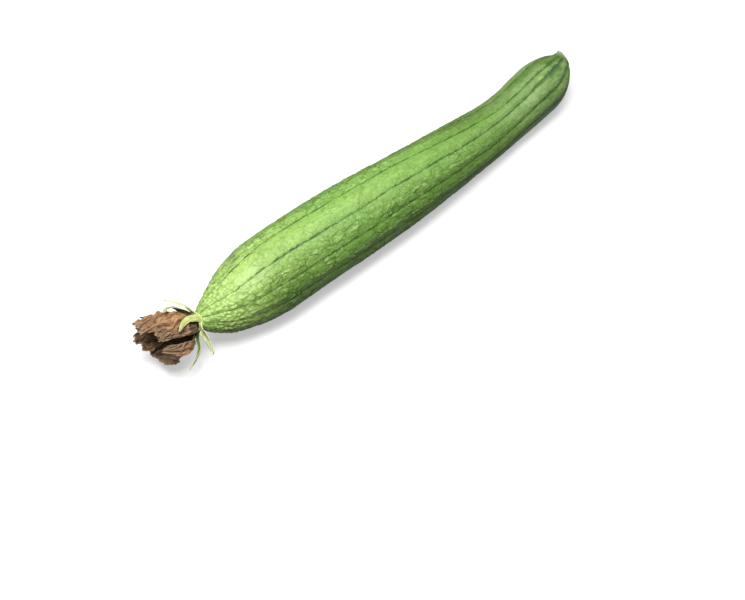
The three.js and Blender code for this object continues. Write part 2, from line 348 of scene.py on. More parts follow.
@dataclass(frozen=True)
class GourdLine:
    """The fruit's middle line and girth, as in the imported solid, in millimetres from the blossom end."""

    length: float = 300.0
    radius: float = 22.9
    blossom_pole: float = -2.5
    blossom_cap: float = 52.0
    blossom_roundness: float = 1.6
    stem_cap: float = 27.0
    stem_roundness: float = 2.2
    taper_share: float = 0.43
    taper_from: float = 85.0
    taper_to: float = 306.0
    head_swell: float = 2.5
    head_at: float = 274.0
    head_spread: float = 24.0
    flat_depth: float = 0.7
    bow: float = 8.3
    bow_end: float = 170.0
    tip_length: float = 115.0
    tip_side: float = -3.2
    tip_rise: float = -1.3
    nose_length: float = 24.0
    nose_side: float = 2.6
    nose_rise: float = 2.3
    hook_from: float = 215.0
    hook_side: float = 4.5
    hook_rise: float = 4.9
    crown_length: float = 25.0
    crown_side: float = 1.5
    crown_rise: float = 2.5
    first: float = -0.1  # the faces that the calyx and the stem stand on
    last: float = 299.3
    rib_depth: float = 0.3
    rib_phase: float = 118.0
    ribs: float = 10.0
    solid_rings: int = 45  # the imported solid's sections, and the degrees between its points
    solid_step: float = 9.0

    def cap(self, share: Array, roundness: float) -> Array:
        """Round off an end: (1 - (1 - share)^n)^(1/n) for the roundness n."""
        inner = 1.0 - (1.0 - np.clip(share, 0.0, 1.0)) ** roundness
        return np.maximum(inner, 0.0) ** (1.0 / roundness)

    def girth(self, x: Array) -> Array:
        """The radius: a body that tapers to a swelling near the stem, rounded off at both ends.

        Args:
            x: Distance from the blossom end.

        Returns:
            One radius for each distance.
        """
        body = self.radius * (1.0 - self.taper_share * smoothstep(x, self.taper_from, self.taper_to))
        body = body + self.head_swell * hump(x, self.head_at, self.head_spread)
        at_blossom = self.cap((x - self.blossom_pole) / self.blossom_cap, self.blossom_roundness)
        return body * at_blossom * self.cap((self.length - x) / self.stem_cap, self.stem_roundness)

    def centre(self, x: Array) -> Array:
        """The middle of the section: a level belly, a bow to -Y, and turns near both ends.

        Args:
            x: Distance from the blossom end.

        Returns:
            One place for each distance.
        """
        from_stem = self.length - x
        tip, nose = ease(x, self.tip_length), ease(x, self.nose_length)
        hook, crown = ease(from_stem, self.length - self.hook_from), ease(from_stem, self.crown_length)
        side = -self.bow * smoothstep(x, 0.0, self.bow_end) + self.tip_side * tip + self.nose_side * nose
        side = side + self.hook_side * hook + self.crown_side * crown
        rise = self.girth(np.clip(x, self.blossom_cap, self.length - self.stem_cap)) - self.flat_depth
        rise = rise + self.tip_rise * tip + self.nose_rise * nose
        rise = rise + self.hook_rise * hook + self.crown_rise * crown
        return np.stack([x - self.length / 2, side, rise], axis=-1)

    def axes(self, x: Array) -> tuple[Array, Array, Array]:
        """The section's own ways, each of length 1.

        Args:
            x: Distance from the blossom end.

        Returns:
            The way along the line, the level way across it and the way up.
        """
        along = unit(self.centre(x + 0.5) - self.centre(x - 0.5))
        side = unit(np.cross([0.0, 0.0, 1.0], along))
        return along, side, np.cross(along, side)

    def ring(self, x: Array, angle: Array, radius: Array) -> Array:
        """The point at an angle round the section and a distance from its middle.

        Args:
            x: Distance from the blossom end.
            angle: Degrees from the level side to the top and on.
            radius: Distance from the middle.

        Returns:
            One place for each distance and angle.
        """
        _, side, up = self.axes(x)
        turn = np.radians(angle)
        level, rise = (radius * np.cos(turn))[..., None], (radius * np.sin(turn))[..., None]
        return self.centre(x) + side * level + up * rise

    def shift(self) -> Array:
        """What takes a place to the row's millimetres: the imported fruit's box less the same box made here.

        Returns:
            Three distances.
        """
        way = 0.5 - 0.5 * np.cos(np.linspace(0.0, np.pi, self.solid_rings))
        stations = self.first + (self.last - self.first) * way
        x, angle = np.meshgrid(stations, np.arange(0.0, 360.0, self.solid_step), indexing="ij")
        girth = self.girth(x)
        wave = np.cos(np.radians(self.ribs * (angle - self.rib_phase)))
        points = self.ring(x, angle, girth - self.rib_depth * smoothstep(girth, 6.0, 16.0) * wave)
        low = np.array([points[..., 0].min(), points[..., 1].min(), 0.0])
        return np.array(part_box("fruit")[0]) / MM - low


@dataclass(frozen=True)
class FlowerLine:
    """The flower's frame: straight out of the blossom face, then turned aside and up, as in the solids."""

    gourd: GourdLine
    gap: float = 0.3  # between the fruit and the calyx
    turn: float = 17.0
    lift: float = 4.0
    straight_for: float = 6.0
    turn_from: float = 4.2

    def cup_axes(self) -> tuple[Array, Array, Array, Array]:
        """The blossom face's middle, and its ways forward, aside and up."""
        along, side, up = self.gourd.axes(np.array(self.gourd.first))
        return self.gourd.centre(np.array(self.gourd.first)) - along * self.gap, -along, -side, up

    def point(self, radius: Array, forward: Array, angle: Array) -> Array:
        """Go forward from the cup, straight at first, and then out at an angle round the flower.

        Args:
            radius: Distance from the flower's axis.
            forward: Distance from the blossom face.
            angle: Degrees from -Y towards +Z.

        Returns:
            Places in the gourd's millimetres.
        """
        middle, cup_forward, cup_side, cup_up = self.cup_axes()
        turn, lift = math.radians(self.turn), math.radians(self.lift)
        ahead = np.array([-math.cos(turn) * math.cos(lift), math.sin(turn) * math.cos(lift), math.sin(lift)])
        side = unit(np.cross([0.0, 0.0, 1.0], ahead))
        up = np.cross(ahead, side)
        measures = (np.asarray(measure, float) for measure in (radius, forward, angle))
        radius, forward, angle = np.broadcast_arrays(*measures)
        bent = smoothstep(forward, self.turn_from, 2.0 * self.straight_for)
        straight = np.minimum(forward, self.straight_for)
        side_here, up_here = unit(mix(cup_side, side, bent)), unit(mix(cup_up, up, bent))
        round_ = np.radians(angle)
        level, rise = (radius * np.cos(round_))[..., None], (radius * np.sin(round_))[..., None]
        on_axis = middle + cup_forward * straight[..., None] + ahead * (forward - straight)[..., None]
        return on_axis + side_here * level + up_here * rise


def follow(points: Array, share: Array) -> Array:
    """A smooth line through a few points: a Catmull-Rom curve, its ends carried on straight.

    Args:
        points: The points, one in each line.
        share: Where to read it, from 0 to 1, with the same part of the range for each stretch.

    Returns:
        One place for each share.
    """
    points = np.asarray(points, float)
    padded = np.concatenate([[2 * points[0] - points[1]], points, [2 * points[-1] - points[-2]]])
    stretch = np.clip(np.asarray(share) * (len(points) - 1), 0.0, len(points) - 1 - 1e-9)
    start = stretch.astype(int)
    q = (stretch - start)[..., None]
    a, b, c, d = (padded[start + i] for i in range(4))
    return 0.5 * (2 * b + (c - a) * q + (2 * a - 5 * b + 4 * c - d) * q**2 + (3 * b - a - 3 * c + d) * q**3)


# ---- Materials


Socket = bpy.types.NodeSocket
Feed = Socket | float | Sequence[float]


class Wires:
    """Adds nodes to a tree and hands back the outputs, so that a material reads as a sum."""

    def __init__(self, tree: bpy.types.NodeTree) -> None:
        """Take the tree to wire."""
        self.tree = tree

    def node(self, kind: str, feeds: dict[int | str, Feed], **settings: object) -> bpy.types.Node:
        """Add a node.

        Args:
            kind: Blender's name of the node type.
            feeds: What goes into its inputs, each a value or another node's output.
            **settings: The node's own options.

        Returns:
            The node.
        """
        node = self.tree.nodes.new(kind)
        for name, value in settings.items():
            setattr(node, name, value)
        for key, value in feeds.items():
            if isinstance(value, Socket):
                self.tree.links.new(value, node.inputs[key])
            else:
                node.inputs[key].default_value = value
        return node

    def sum(self, operation: str, *feeds: Feed, clamp: bool = False) -> Socket:
        """One step of arithmetic on one, two or three numbers."""
        node = self.node("ShaderNodeMath", dict(enumerate(feeds)), operation=operation, use_clamp=clamp)
        return node.outputs[0]

    def times(self, value: Feed, factor: Feed) -> Socket:
        """The product of two numbers."""
        return self.sum("MULTIPLY", value, factor)

    def span(self, value: Feed, low: Feed, high: Feed, start: Feed = 0.0, end: Feed = 1.0) -> Socket:
        """Go smoothly from start to end while the value goes from low to high."""
        feeds = {"Value": value, "From Min": low, "From Max": high, "To Min": start, "To Max": end}
        return self.node("ShaderNodeMapRange", feeds, interpolation_type="SMOOTHSTEP").outputs[0]

    def blend(self, share: Feed, a: Feed, b: Feed) -> Socket:
        """Blend two colours. A colour is a socket or three numbers."""
        first, second = ((*colour, 1.0) if isinstance(colour, tuple) else colour for colour in (a, b))
        return self.node("ShaderNodeMix", {0: share, 6: first, 7: second}, data_type="RGBA").outputs[2]

    def noise(self, place: Feed, per_mm: Feed, detail: float = 2.0, roughness: float = 0.5) -> Socket:
        """Noise of so many waves to the millimetre, 0 to 1 round 0.5."""
        feeds = {"Vector": place, "Scale": per_mm, "Detail": detail, "Roughness": roughness}
        return self.node("ShaderNodeTexNoise", feeds).outputs[0]

    def place(self) -> Socket:
        """The place on the piece, in millimetres."""
        here = self.node("ShaderNodeTexCoord", {}).outputs["Object"]
        return self.node("ShaderNodeVectorMath", {0: here, "Scale": 1.0 / MM}, operation="SCALE").outputs[0]

    def parts(self, label: str) -> tuple[Socket, ...]:
        """The three numbers of one of the piece's attributes."""
        read = self.node("ShaderNodeAttribute", {}, attribute_name=label).outputs["Vector"]
        return tuple(self.node("ShaderNodeSeparateXYZ", {0: read}).outputs)


class Effect(Enum):
    """The node groups that several materials share, by the name of their tree."""

    MOTTLE = "Mottle"
    VEINS = "Veins"
    GRAIN = "Grain"


def new_group(effect: Effect, inputs: dict[str, float], output: str) -> tuple[Wires, dict, bpy.types.Node]:
    """Start a node group.

    Args:
        effect: Which one.
        inputs: Its number inputs with their first values, besides a Place in millimetres.
        output: The name of its one output, a number.

    Returns:
        The wires of its tree, its inputs inside the tree by name, and its output node.
    """
    tree = bpy.data.node_groups.new(effect.value, "ShaderNodeTree")
    tree.interface.new_socket(name="Place", in_out="INPUT", socket_type="NodeSocketVector")
    for name, value in inputs.items():
        socket = tree.interface.new_socket(name=name, in_out="INPUT", socket_type="NodeSocketFloat")
        socket.default_value = value
    tree.interface.new_socket(name=output, in_out="OUTPUT", socket_type="NodeSocketFloat")
    wires = Wires(tree)
    entry = wires.node("NodeGroupInput", {})
    given = {socket.name: socket for socket in entry.outputs if socket.name}
    return wires, given, wires.node("NodeGroupOutput", {})


def build_mottle() -> None:
    """Build the mottle: broad and fine blotches as one mask, 0 to 1, of a size in millimetres."""
    wires, given, leave = new_group(Effect.MOTTLE, {"Size": 8.0, "Contrast": 1.0}, "Mask")
    per_mm = wires.sum("DIVIDE", 1.0, given["Size"])
    broad = wires.noise(given["Place"], per_mm, 2.0, 0.5)
    fine = wires.noise(given["Place"], wires.times(per_mm, 4.3), 3.0, 0.6)
    both = wires.sum("ADD", wires.times(broad, 0.65), wires.times(fine, 0.35))
    spread = wires.times(wires.sum("SUBTRACT", both, 0.5), given["Contrast"])
    wires.tree.links.new(wires.sum("MULTIPLY_ADD", spread, 3.0, 0.5, clamp=True), leave.inputs[0])


def build_veins() -> None:
    """Build the veins: a net of thin lines drawn out lengthwise, as a mask, 1 on a vein.

    The place is read with its first number along the blade and its second across it, both in millimetres.
    """
    wires, given, leave = new_group(Effect.VEINS, {"Size": 2.0, "Length": 2.5, "Width": 0.08}, "Mask")
    x, y, z = wires.node("ShaderNodeSeparateXYZ", {0: given["Place"]}).outputs
    shrunk = wires.sum("DIVIDE", x, given["Length"])
    drawn = wires.node("ShaderNodeCombineXYZ", {0: shrunk, 1: y, 2: z}).outputs[0]
    bend = wires.node("ShaderNodeTexNoise", {"Vector": drawn, "Scale": 0.35, "Detail": 2.0}).outputs["Color"]
    bending = {0: bend, 1: (1.6,) * 3, 2: drawn}
    bent = wires.node("ShaderNodeVectorMath", bending, operation="MULTIPLY_ADD").outputs[0]
    cell = {"Vector": bent, "Scale": wires.sum("DIVIDE", 1.0, given["Size"])}
    net = wires.node("ShaderNodeTexVoronoi", cell, feature="DISTANCE_TO_EDGE").outputs[0]
    wires.tree.links.new(wires.span(net, 0.0, given["Width"], 1.0, 0.0), leave.inputs[0])


def build_grain() -> None:
    """Build the grain: the height of a fine, slightly pitted surface, 0 to 1, of a size in millimetres."""
    wires, given, leave = new_group(Effect.GRAIN, {"Size": 1.0, "Pits": 0.5}, "Height")
    per_mm = wires.sum("DIVIDE", 1.0, given["Size"])
    fine = wires.noise(given["Place"], per_mm, 3.0, 0.6)
    dots = wires.node("ShaderNodeTexVoronoi", {"Vector": given["Place"], "Scale": per_mm}).outputs["Distance"]
    pits = wires.times(wires.span(dots, 0.0, 0.35, 1.0, 0.0), given["Pits"])
    wires.tree.links.new(wires.sum("SUBTRACT", fine, pits), leave.inputs[0])


def build_effects() -> None:
    """Build every shared node group once."""
    build_mottle()
    build_veins()
    build_grain()


def use(wires: Wires, effect: Effect, **feeds: Feed) -> Socket:
    """Place a shared effect in a material and hand back its output."""
    group = bpy.data.node_groups[effect.value]
    return wires.node("ShaderNodeGroup", feeds, node_tree=group).outputs[0]


def empty_material(name: str) -> tuple[bpy.types.Material, Wires]:
    """Make a material without nodes.

    Args:
        name: Its name.

    Returns:
        The material and the wires of its tree.
    """
    material = bpy.data.materials.new(name)
    material.use_nodes = True
    material.node_tree.nodes.clear()
    return material, Wires(material.node_tree)


def new_material(name: str) -> tuple[bpy.types.Material, Wires, bpy.types.Node]:
    """Make a material with a Principled shader wired to its output.

    Args:
        name: Its name.

    Returns:
        The material, the wires of its tree and the shader.
    """
    material, wires = empty_material(name)
    shader = wires.node("ShaderNodeBsdfPrincipled", {})
    wires.node("ShaderNodeOutputMaterial", {0: shader.outputs[0]})
    return material, wires, shader


def finish_shader(
    wires: Wires, shader: bpy.types.Node, colour: Feed, roughness: Feed, height: Feed, relief: float
) -> None:
    """Wire colour, roughness and a bump into a Principled shader.

    Args:
        wires: The material's tree.
        shader: The shader.
        colour: Its colour.
        roughness: How rough it is.
        height: The bump's height, 0 to 1.
        relief: How many millimetres that height stands for.
    """
    feeds = {"Height": height, "Distance": relief * MM, "Strength": 1.0}
    bump = wires.node("ShaderNodeBump", feeds).outputs[0]
    for name, value in {"Base Color": colour, "Roughness": roughness, "Normal": bump}.items():
        wires.tree.links.new(value, shader.inputs[name])


@dataclass(frozen=True)
class SkinFinish:
    """The fruit's satin skin: yellow-green at the blossom and grey-green at the stem, with dark lines."""

    body: Colour = (0.215, 0.445, 0.080)
    # Also the colour of the painted light along the top.
    pale: Colour = (0.520, 0.750, 0.200)
    # Also the colour of painted shade on the flank, in the grooves and in the relief's low parts.
    deep: Colour = (0.068, 0.165, 0.014)
    grey: Colour = (0.265, 0.410, 0.168)
    # The colour of pale pebbles and flecks, and of the painted highlights and painted light on raised parts.
    crest_highlight: Colour = (0.600, 0.830, 0.290)
    seam: Colour = (0.036, 0.105, 0.011)
    seam_blue: Colour = (0.020, 0.062, 0.052)
    speck: Colour = (0.045, 0.105, 0.025)
    scar: Colour = (0.06, 0.09, 0.05)
    streak_share: float = 0.28
    grey_streak_share: float = 0.35  # what the grey adds to that
    tone_share: float = 0.10
    speckle_share: float = 0.16
    # Pale pebbles, and painted highlights on crack rims, on scallops and in one glint.
    pale_and_highlight_share: float = 0.55
    thin_seam: float = 0.6  # from this width to the next, in millimetres, a seam grows soft
    broad_seam: float = 1.4
    lengthwise: tuple[float, float, float] = (0.36, 1.0, 1.0)  # draws a pattern out along the fruit
    bump: float = 0.20
    roughness: float = 0.42
    specular: float = 0.40
    coat: float = 0.06
    coat_roughness: float = 0.20

    def ground(self, wires: Wires, place: Feed, drawn: Feed) -> Socket:
        """The green before its marks: tints, lengthwise streaks, pale pebbles, painted highlights on the
        raised parts and painted shade on the sunk ones.

        Args:
            wires: The material's tree.
            place: The place in millimetres.
            drawn: The same, drawn together lengthwise, so that what is read from it is long.

        Returns:
            The colour.
        """
        _, raised, tone = wires.parts("skin")
        pale, deep, grey = wires.parts("tint")
        _, level, _ = wires.parts("rough_and_relief_shade")
        streaks = use(wires, Effect.MOTTLE, Place=drawn, Size=5.0, Contrast=1.0)
        streaked = wires.sum("MULTIPLY_ADD", grey, self.grey_streak_share, self.streak_share)
        speckle = use(wires, Effect.MOTTLE, Place=place, Size=1.8, Contrast=1.3)
        colour = wires.blend(pale, self.body, self.pale)
        colour = wires.blend(deep, colour, self.deep)
        colour = wires.blend(grey, colour, self.grey)
        colour = wires.blend(wires.times(streaks, streaked), colour, self.deep)
        colour = wires.blend(wires.times(tone, self.tone_share), colour, self.deep)
        colour = wires.blend(wires.times(speckle, self.speckle_share), colour, self.pale)
        # Pale pebbles, and painted highlights on crack rims, scallops and one glint.
        colour = wires.blend(wires.times(raised, self.pale_and_highlight_share), colour, self.crest_highlight)
        # Painted light on the relief's high parts and painted shade in its low parts, from its height.
        colour = wires.blend(wires.span(level, 0.0, 1.0, 0.0, 0.45), colour, self.crest_highlight)
        return wires.blend(wires.span(level, -1.0, 0.0, 0.60, 0.0), colour, self.deep)

    def creases(self, wires: Wires, place: Feed) -> Socket:
        """The thin dark lines of a wide and a fine net, in patches, firmest where the skin is rough.

        Args:
            wires: The material's tree.
            place: The place in millimetres.

        Returns:
            The lines as a mask.
        """
        rough, _, _ = wires.parts("rough_and_relief_shade")
        patches = wires.span(wires.noise(place, 0.11, 2.0, 0.6), 0.40, 0.58, 0.25, 1.0)
        wide = use(wires, Effect.VEINS, Place=place, Size=4.8, Length=1.6, Width=0.10)
        fine = use(wires, Effect.VEINS, Place=place, Size=2.1, Length=1.3, Width=0.14)
        wide = wires.times(wide, wires.times(patches, wires.sum("MULTIPLY_ADD", rough, 0.7, 0.25)))
        fine = wires.times(fine, wires.times(patches, wires.times(rough, 0.45)))
        return wires.sum("MAXIMUM", wide, fine)

    def seams(self, wires: Wires, place: Feed, drawn: Feed) -> tuple[Socket, Socket]:
        """The long dark lines: a ragged band round each seam that swells, thins and fades along its length.

        Args:
            wires: The material's tree.
            place: The place in millimetres.
            drawn: The same, drawn together lengthwise.

        Returns:
            The line and its soft surroundings, each as a mask.
        """
        sine, cosine, width = wires.parts("rib")
        rib_width, _, _ = wires.parts("marks")
        turn = wires.sum("DIVIDE", wires.sum("ARCTAN2", sine, cosine), math.tau)
        wobble = wires.sum("SUBTRACT", wires.noise(place, 0.42, 3.0, 0.7), 0.5)
        ragged = wires.sum("SUBTRACT", wires.noise(drawn, 1.1, 2.0, 0.6), 0.5)
        reach = wires.sum("MULTIPLY_ADD", wires.sum("MINIMUM", width, 0.5), 3.0, 0.9)
        off = wires.times(wires.sum("MULTIPLY_ADD", ragged, 0.6, wobble), reach)
        away = wires.sum("ABSOLUTE", wires.sum("MULTIPLY_ADD", turn, rib_width, off))
        swell = wires.span(wires.noise(place, 0.21, 2.0, 0.6), 0.35, 0.65, 0.45, 1.35)
        wide = wires.times(width, swell)
        line = wires.span(away, wires.times(wide, 0.2), wide, 1.0, 0.0)
        strength = wires.span(wires.noise(place, 0.13, 3.0, 0.65), 0.36, 0.56, 0.60, 1.0)
        firm = wires.span(width, self.thin_seam, self.broad_seam, 1.0, 0.6)
        soft = wires.span(width, self.thin_seam, self.broad_seam, 0.50, 0.85)
        spread = wires.span(width, self.thin_seam, self.broad_seam, 2.9, 1.6)
        halo = wires.span(away, 0.0, wires.times(wide, spread), soft, 0.0)
        return wires.times(wires.times(line, strength), firm), wires.times(halo, strength)

    def specks(self, wires: Wires, drawn: Feed, ground: Feed) -> Socket:
        """Put pale flecks and dark specks on the ground, both drawn out lengthwise.

        Args:
            wires: The material's tree.
            drawn: The place in millimetres, drawn together lengthwise.
            ground: The colour under them.

        Returns:
            The colour with them.
        """
        rough, _, speckled = wires.parts("rough_and_relief_shade")
        dots = wires.noise(drawn, 1.25, 1.0, 0.5)
        limit = wires.span(speckled, 0.0, 1.0, 0.76, 0.63)
        flecks = wires.times(wires.span(dots, 0.32, 0.25, 0.0, 0.75), rough)
        specks = wires.span(dots, limit, wires.sum("ADD", limit, 0.04), 0.0, 0.75)
        return wires.blend(specks, wires.blend(flecks, ground, self.crest_highlight), self.speck)

    def material(self) -> bpy.types.Material:
        """Build the material.

        The attribute "rib" holds the sine and cosine of the way between two seams and a seam's width in
        millimetres. "skin" holds the dark lines of the cracks with painted shade in the grooves and between
        the pebbles, the pale pebbles with painted highlights on raised parts, and a tone for each cell.
        "tint" holds how pale, how deep and how grey the green is, with painted light along the top and
        painted shade on the flank. "marks" holds a rib's width in millimetres, the scars and the blue of the
        seams. The attribute of roughness and relief shade holds how rough the skin is, how high it stands,
        which is painted as light on high parts and as shade on low ones, and how speckled it is.

        Returns:
            The material.
        """
        material, wires, shader = new_material("gourd_skin")
        place = wires.place()
        stretched = {0: place, 1: self.lengthwise}
        drawn = wires.node("ShaderNodeVectorMath", stretched, operation="MULTIPLY").outputs[0]
        crack, _, _ = wires.parts("skin")
        _, scar, blue = wires.parts("marks")
        rough, _, _ = wires.parts("rough_and_relief_shade")

        creases = self.creases(wires, place)
        broken = wires.span(wires.noise(place, 0.5), 0.32, 0.58, 0.45, 1.0)
        dark = wires.sum("MAXIMUM", wires.times(crack, broken), wires.times(creases, 0.85))
        line, halo = self.seams(wires, place, drawn)
        ground = wires.blend(dark, self.ground(wires, place, drawn), self.deep)
        ground = wires.blend(halo, ground, self.deep)
        ground = wires.blend(line, ground, wires.blend(blue, self.seam, self.seam_blue))
        ground = self.specks(wires, drawn, ground)
        ground = wires.blend(scar, ground, self.scar)

        grain = use(wires, Effect.GRAIN, Place=place, Size=0.9, Pits=0.35)
        pimples = wires.node("ShaderNodeTexVoronoi", {"Vector": place, "Scale": 0.62}).outputs["Distance"]
        pimples = wires.times(wires.span(pimples, 0.0, 0.55, 1.0, 0.0), rough)
        height = wires.sum("MULTIPLY_ADD", pimples, 0.9, wires.times(grain, 0.7))
        height = wires.sum("SUBTRACT", height, wires.sum("ADD", line, wires.times(creases, 1.2)))
        dull = wires.sum("MULTIPLY_ADD", wires.sum("ADD", dark, line), 0.12, self.roughness)
        finish_shader(wires, shader, ground, dull, height, self.bump)
        shader.inputs["Specular IOR Level"].default_value = self.specular
        shader.inputs["Coat Weight"].default_value = self.coat
        shader.inputs["Coat Roughness"].default_value = self.coat_roughness
        return material


@dataclass(frozen=True)
class GreenFinish:
    """Soft green tissue of the calyx and the sepals, paler at edges and tips, with fine lengthwise veins."""

    ground: Colour = (0.66, 0.73, 0.24)
    shade: Colour = (0.16, 0.27, 0.05)
    pale: Colour = (0.76, 0.84, 0.44)
    light: Colour = (0.86, 0.92, 0.50)
    dry: Colour = (0.27, 0.22, 0.05)
    blotch_share: float = 0.20
    vein_share: float = 0.25
    edge_share: float = 0.7
    roughness: float = 0.5

    def material(self) -> bpy.types.Material:
        """Build the material.

        The attribute "blade" holds the millimetres along and across, and how near the edge is, 0 to 1. "tint"
        holds painted shade, how dry it is and how bright, which on the sepals is painted light.

        Returns:
            The material.
        """
        material, wires, shader = new_material("sepal_green")
        place = wires.place()
        along, across, edge = wires.parts("blade")
        deep, dry, bright = wires.parts("tint")
        flat = wires.node("ShaderNodeCombineXYZ", {0: along, 1: across}).outputs[0]
        blotches = use(wires, Effect.MOTTLE, Place=place, Size=4.0, Contrast=1.1)
        ground = wires.blend(wires.times(blotches, self.blotch_share), self.ground, self.shade)
        veins = use(wires, Effect.VEINS, Place=flat, Size=0.9, Length=6.0, Width=0.10)
        ground = wires.blend(wires.times(veins, self.vein_share), ground, self.shade)
        # Painted shade.
        ground = wires.blend(deep, ground, self.shade)
        ground = wires.blend(wires.times(edge, self.edge_share), ground, self.pale)
        # Paler where bright; on the sepals that is painted light.
        ground = wires.blend(bright, ground, self.light)
        ground = wires.blend(dry, ground, self.dry)
        grain = use(wires, Effect.GRAIN, Place=place, Size=0.5, Pits=0.2)
        height = wires.sum("SUBTRACT", grain, wires.times(veins, 0.5))
        rough = wires.sum("MULTIPLY_ADD", dry, 0.3, self.roughness)
        finish_shader(wires, shader, ground, rough, height, 0.10)
        return material


@dataclass(frozen=True)
class PetalFinish:
    """Dried, papery petal: brown, with darker veins, torn pale edges, painted shade in its hollows and
    creases, and painted tan highlights on its crests.
    """

    ground: Colour = (0.250, 0.150, 0.074)
    # The colour of the painted shade in the folds and deep inside the flower.
    hollow: Colour = (0.030, 0.016, 0.007)
    crest_highlight: Colour = (0.360, 0.240, 0.138)
    edge: Colour = (0.440, 0.320, 0.195)
    vein: Colour = (0.090, 0.042, 0.018)
    warm: Colour = (0.320, 0.148, 0.048)
    warm_crest_highlight: Colour = (0.530, 0.280, 0.108)
    blotch_share: float = 0.35
    # The tone's pale and dark shares: random, and painted light and shade on high and low facets.
    pale_share: float = 0.70
    dark_share: float = 0.40
    fold_shade_share: float = 0.9
    vein_share: float = 0.62
    crease_shade_share: float = 0.85
    ridge_highlight_share: float = 0.50
    edge_share: float = 0.65
    roughness: float = 0.72

    def material(self) -> bpy.types.Material:
        """Build the material.

        The attribute "blade" holds the millimetres along and across, and how near the edge is, 0 to 1. "tint"
        holds the painted shade of the folds, how warm its brown is and the painted shade deep inside the
        flower. "crumple" holds the sunk creases, which take painted shade, the raised ones, which take a
        painted highlight, and a tone that changes across the petal, partly at random and partly as painted
        light on the higher facets.

        Returns:
            The material.
        """
        material, wires, shader = new_material("dry_petal")
        place = wires.place()
        along, across, edge = wires.parts("blade")
        deep, warm, inside = wires.parts("tint")
        crease, ridge, tone = wires.parts("crumple")
        flat = wires.node("ShaderNodeCombineXYZ", {0: along, 1: across}).outputs[0]
        ground = wires.blend(warm, self.ground, self.warm)
        crest_highlight = wires.blend(warm, self.crest_highlight, self.warm_crest_highlight)
        blotches = use(wires, Effect.MOTTLE, Place=place, Size=3.5, Contrast=1.4)
        ground = wires.blend(wires.times(blotches, self.blotch_share), ground, crest_highlight)
        # The tone, paler on high facets and darker on low ones as painted light and shade.
        ground = wires.blend(wires.span(tone, 0.5, 1.0, 0.0, self.pale_share), ground, crest_highlight)
        ground = wires.blend(wires.span(tone, 0.5, 0.0, 0.0, self.dark_share), ground, self.vein)
        # Painted shade in the low parts of the folds.
        ground = wires.blend(wires.span(deep, 0.5, 0.95, 0.0, self.fold_shade_share), ground, self.hollow)
        veins = use(wires, Effect.VEINS, Place=flat, Size=2.4, Length=1.6, Width=0.17)
        ground = wires.blend(wires.times(veins, self.vein_share), ground, self.vein)
        # Painted shade in the sunk creases, and a painted highlight on the raised ones.
        ground = wires.blend(wires.times(crease, self.crease_shade_share), ground, self.vein)
        ground = wires.blend(wires.times(ridge, self.ridge_highlight_share), ground, crest_highlight)
        ground = wires.blend(wires.times(edge, self.edge_share), ground, self.edge)
        # Painted shade deep inside the flower.
        ground = wires.blend(inside, ground, self.hollow)
        grain = use(wires, Effect.GRAIN, Place=place, Size=0.6, Pits=0.3)
        height = wires.sum("SUBTRACT", grain, wires.times(veins, 0.6))
        rough = wires.sum("MULTIPLY_ADD", blotches, 0.1, self.roughness)
        finish_shader(wires, shader, ground, rough, height, 0.08)
        return material


@dataclass(frozen=True)
class StubFinish:
    """The cut stem: green bark at its foot, paler and drier to its cut face, with lengthwise fibres."""

    bark: Colour = (0.27, 0.36, 0.15)
    fibre: Colour = (0.48, 0.56, 0.29)
    cut: Colour = (0.44, 0.50, 0.25)
    foot: Colour = (0.13, 0.22, 0.05)
    blotch_share: float = 0.6
    fibre_share: float = 0.4
    foot_share: float = 0.75
    roughness: float = 0.6

    def material(self) -> bpy.types.Material:
        """Build the material.

        The attribute "blade" holds millimetres along and round, and how dry the bark is, from 0 at the foot's
        green side to 1 at the cut.

        Returns:
            The material.
        """
        material, wires, shader = new_material("stem_bark")
        place = wires.place()
        along, round_, dry = wires.parts("blade")
        flat = wires.node("ShaderNodeCombineXYZ", {0: along, 1: round_}).outputs[0]
        fibres = use(wires, Effect.VEINS, Place=flat, Size=0.7, Length=8.0, Width=0.2)
        blotches = use(wires, Effect.MOTTLE, Place=place, Size=2.5, Contrast=1.2)
        ground = wires.blend(wires.times(blotches, self.blotch_share), self.bark, self.fibre)
        ground = wires.blend(wires.times(fibres, self.fibre_share), ground, self.fibre)
        ground = wires.blend(wires.span(dry, 0.0, 0.5, self.foot_share, 0.0), ground, self.foot)
        ground = wires.blend(wires.span(dry, 0.3, 0.9), ground, self.cut)
        rough = wires.sum("MULTIPLY_ADD", blotches, 0.15, self.roughness)
        finish_shader(wires, shader, ground, rough, fibres, 0.12)
        return material


# ---- The fruit


@dataclass(frozen=True)
class Seam:
    """One of the long dark lines of the skin: its angle, its lean near the stem, and its breadth there."""

    angle: float
    lean: float
    broad: float = 1.0


@dataclass(frozen=True)
class ScarOrGlint:
    """A rubbed mark on the skin, or a painted glint: where it is, and how long and wide, in millimetres."""

    x: float
    angle: float
    length: float
    width: float

    def mask(self, x: Array, angle: Array, girth: Array) -> Array:
        """How strongly the mark shows, exp(-(dx / length)^2 - (round / width)^2).

        Args:
            x: Distance from the blossom end.
            angle: Degrees round the fruit.
            girth: The fruit's half thickness there.

        Returns:
            1 in the middle of the mark, falling to 0 round it.
        """
        across = np.radians(angle - self.angle) * girth / self.width
        return np.exp(-(((x - self.x) / self.length) ** 2) - across**2)


@dataclass(frozen=True)
class Patch:
    """A patch of colour on the skin: its place, its length in millimetres and its width in degrees."""

    strength: float
    x: float
    length: float
    angle: float
    width: float

    def share(self, x: Array, angle: Array) -> Array:
        """The strength times a bell curve along the fruit and one round it."""
        round_ = hump(wrap(angle - self.angle), 0.0, self.width)
        return self.strength * hump(x, self.x, self.length) * round_


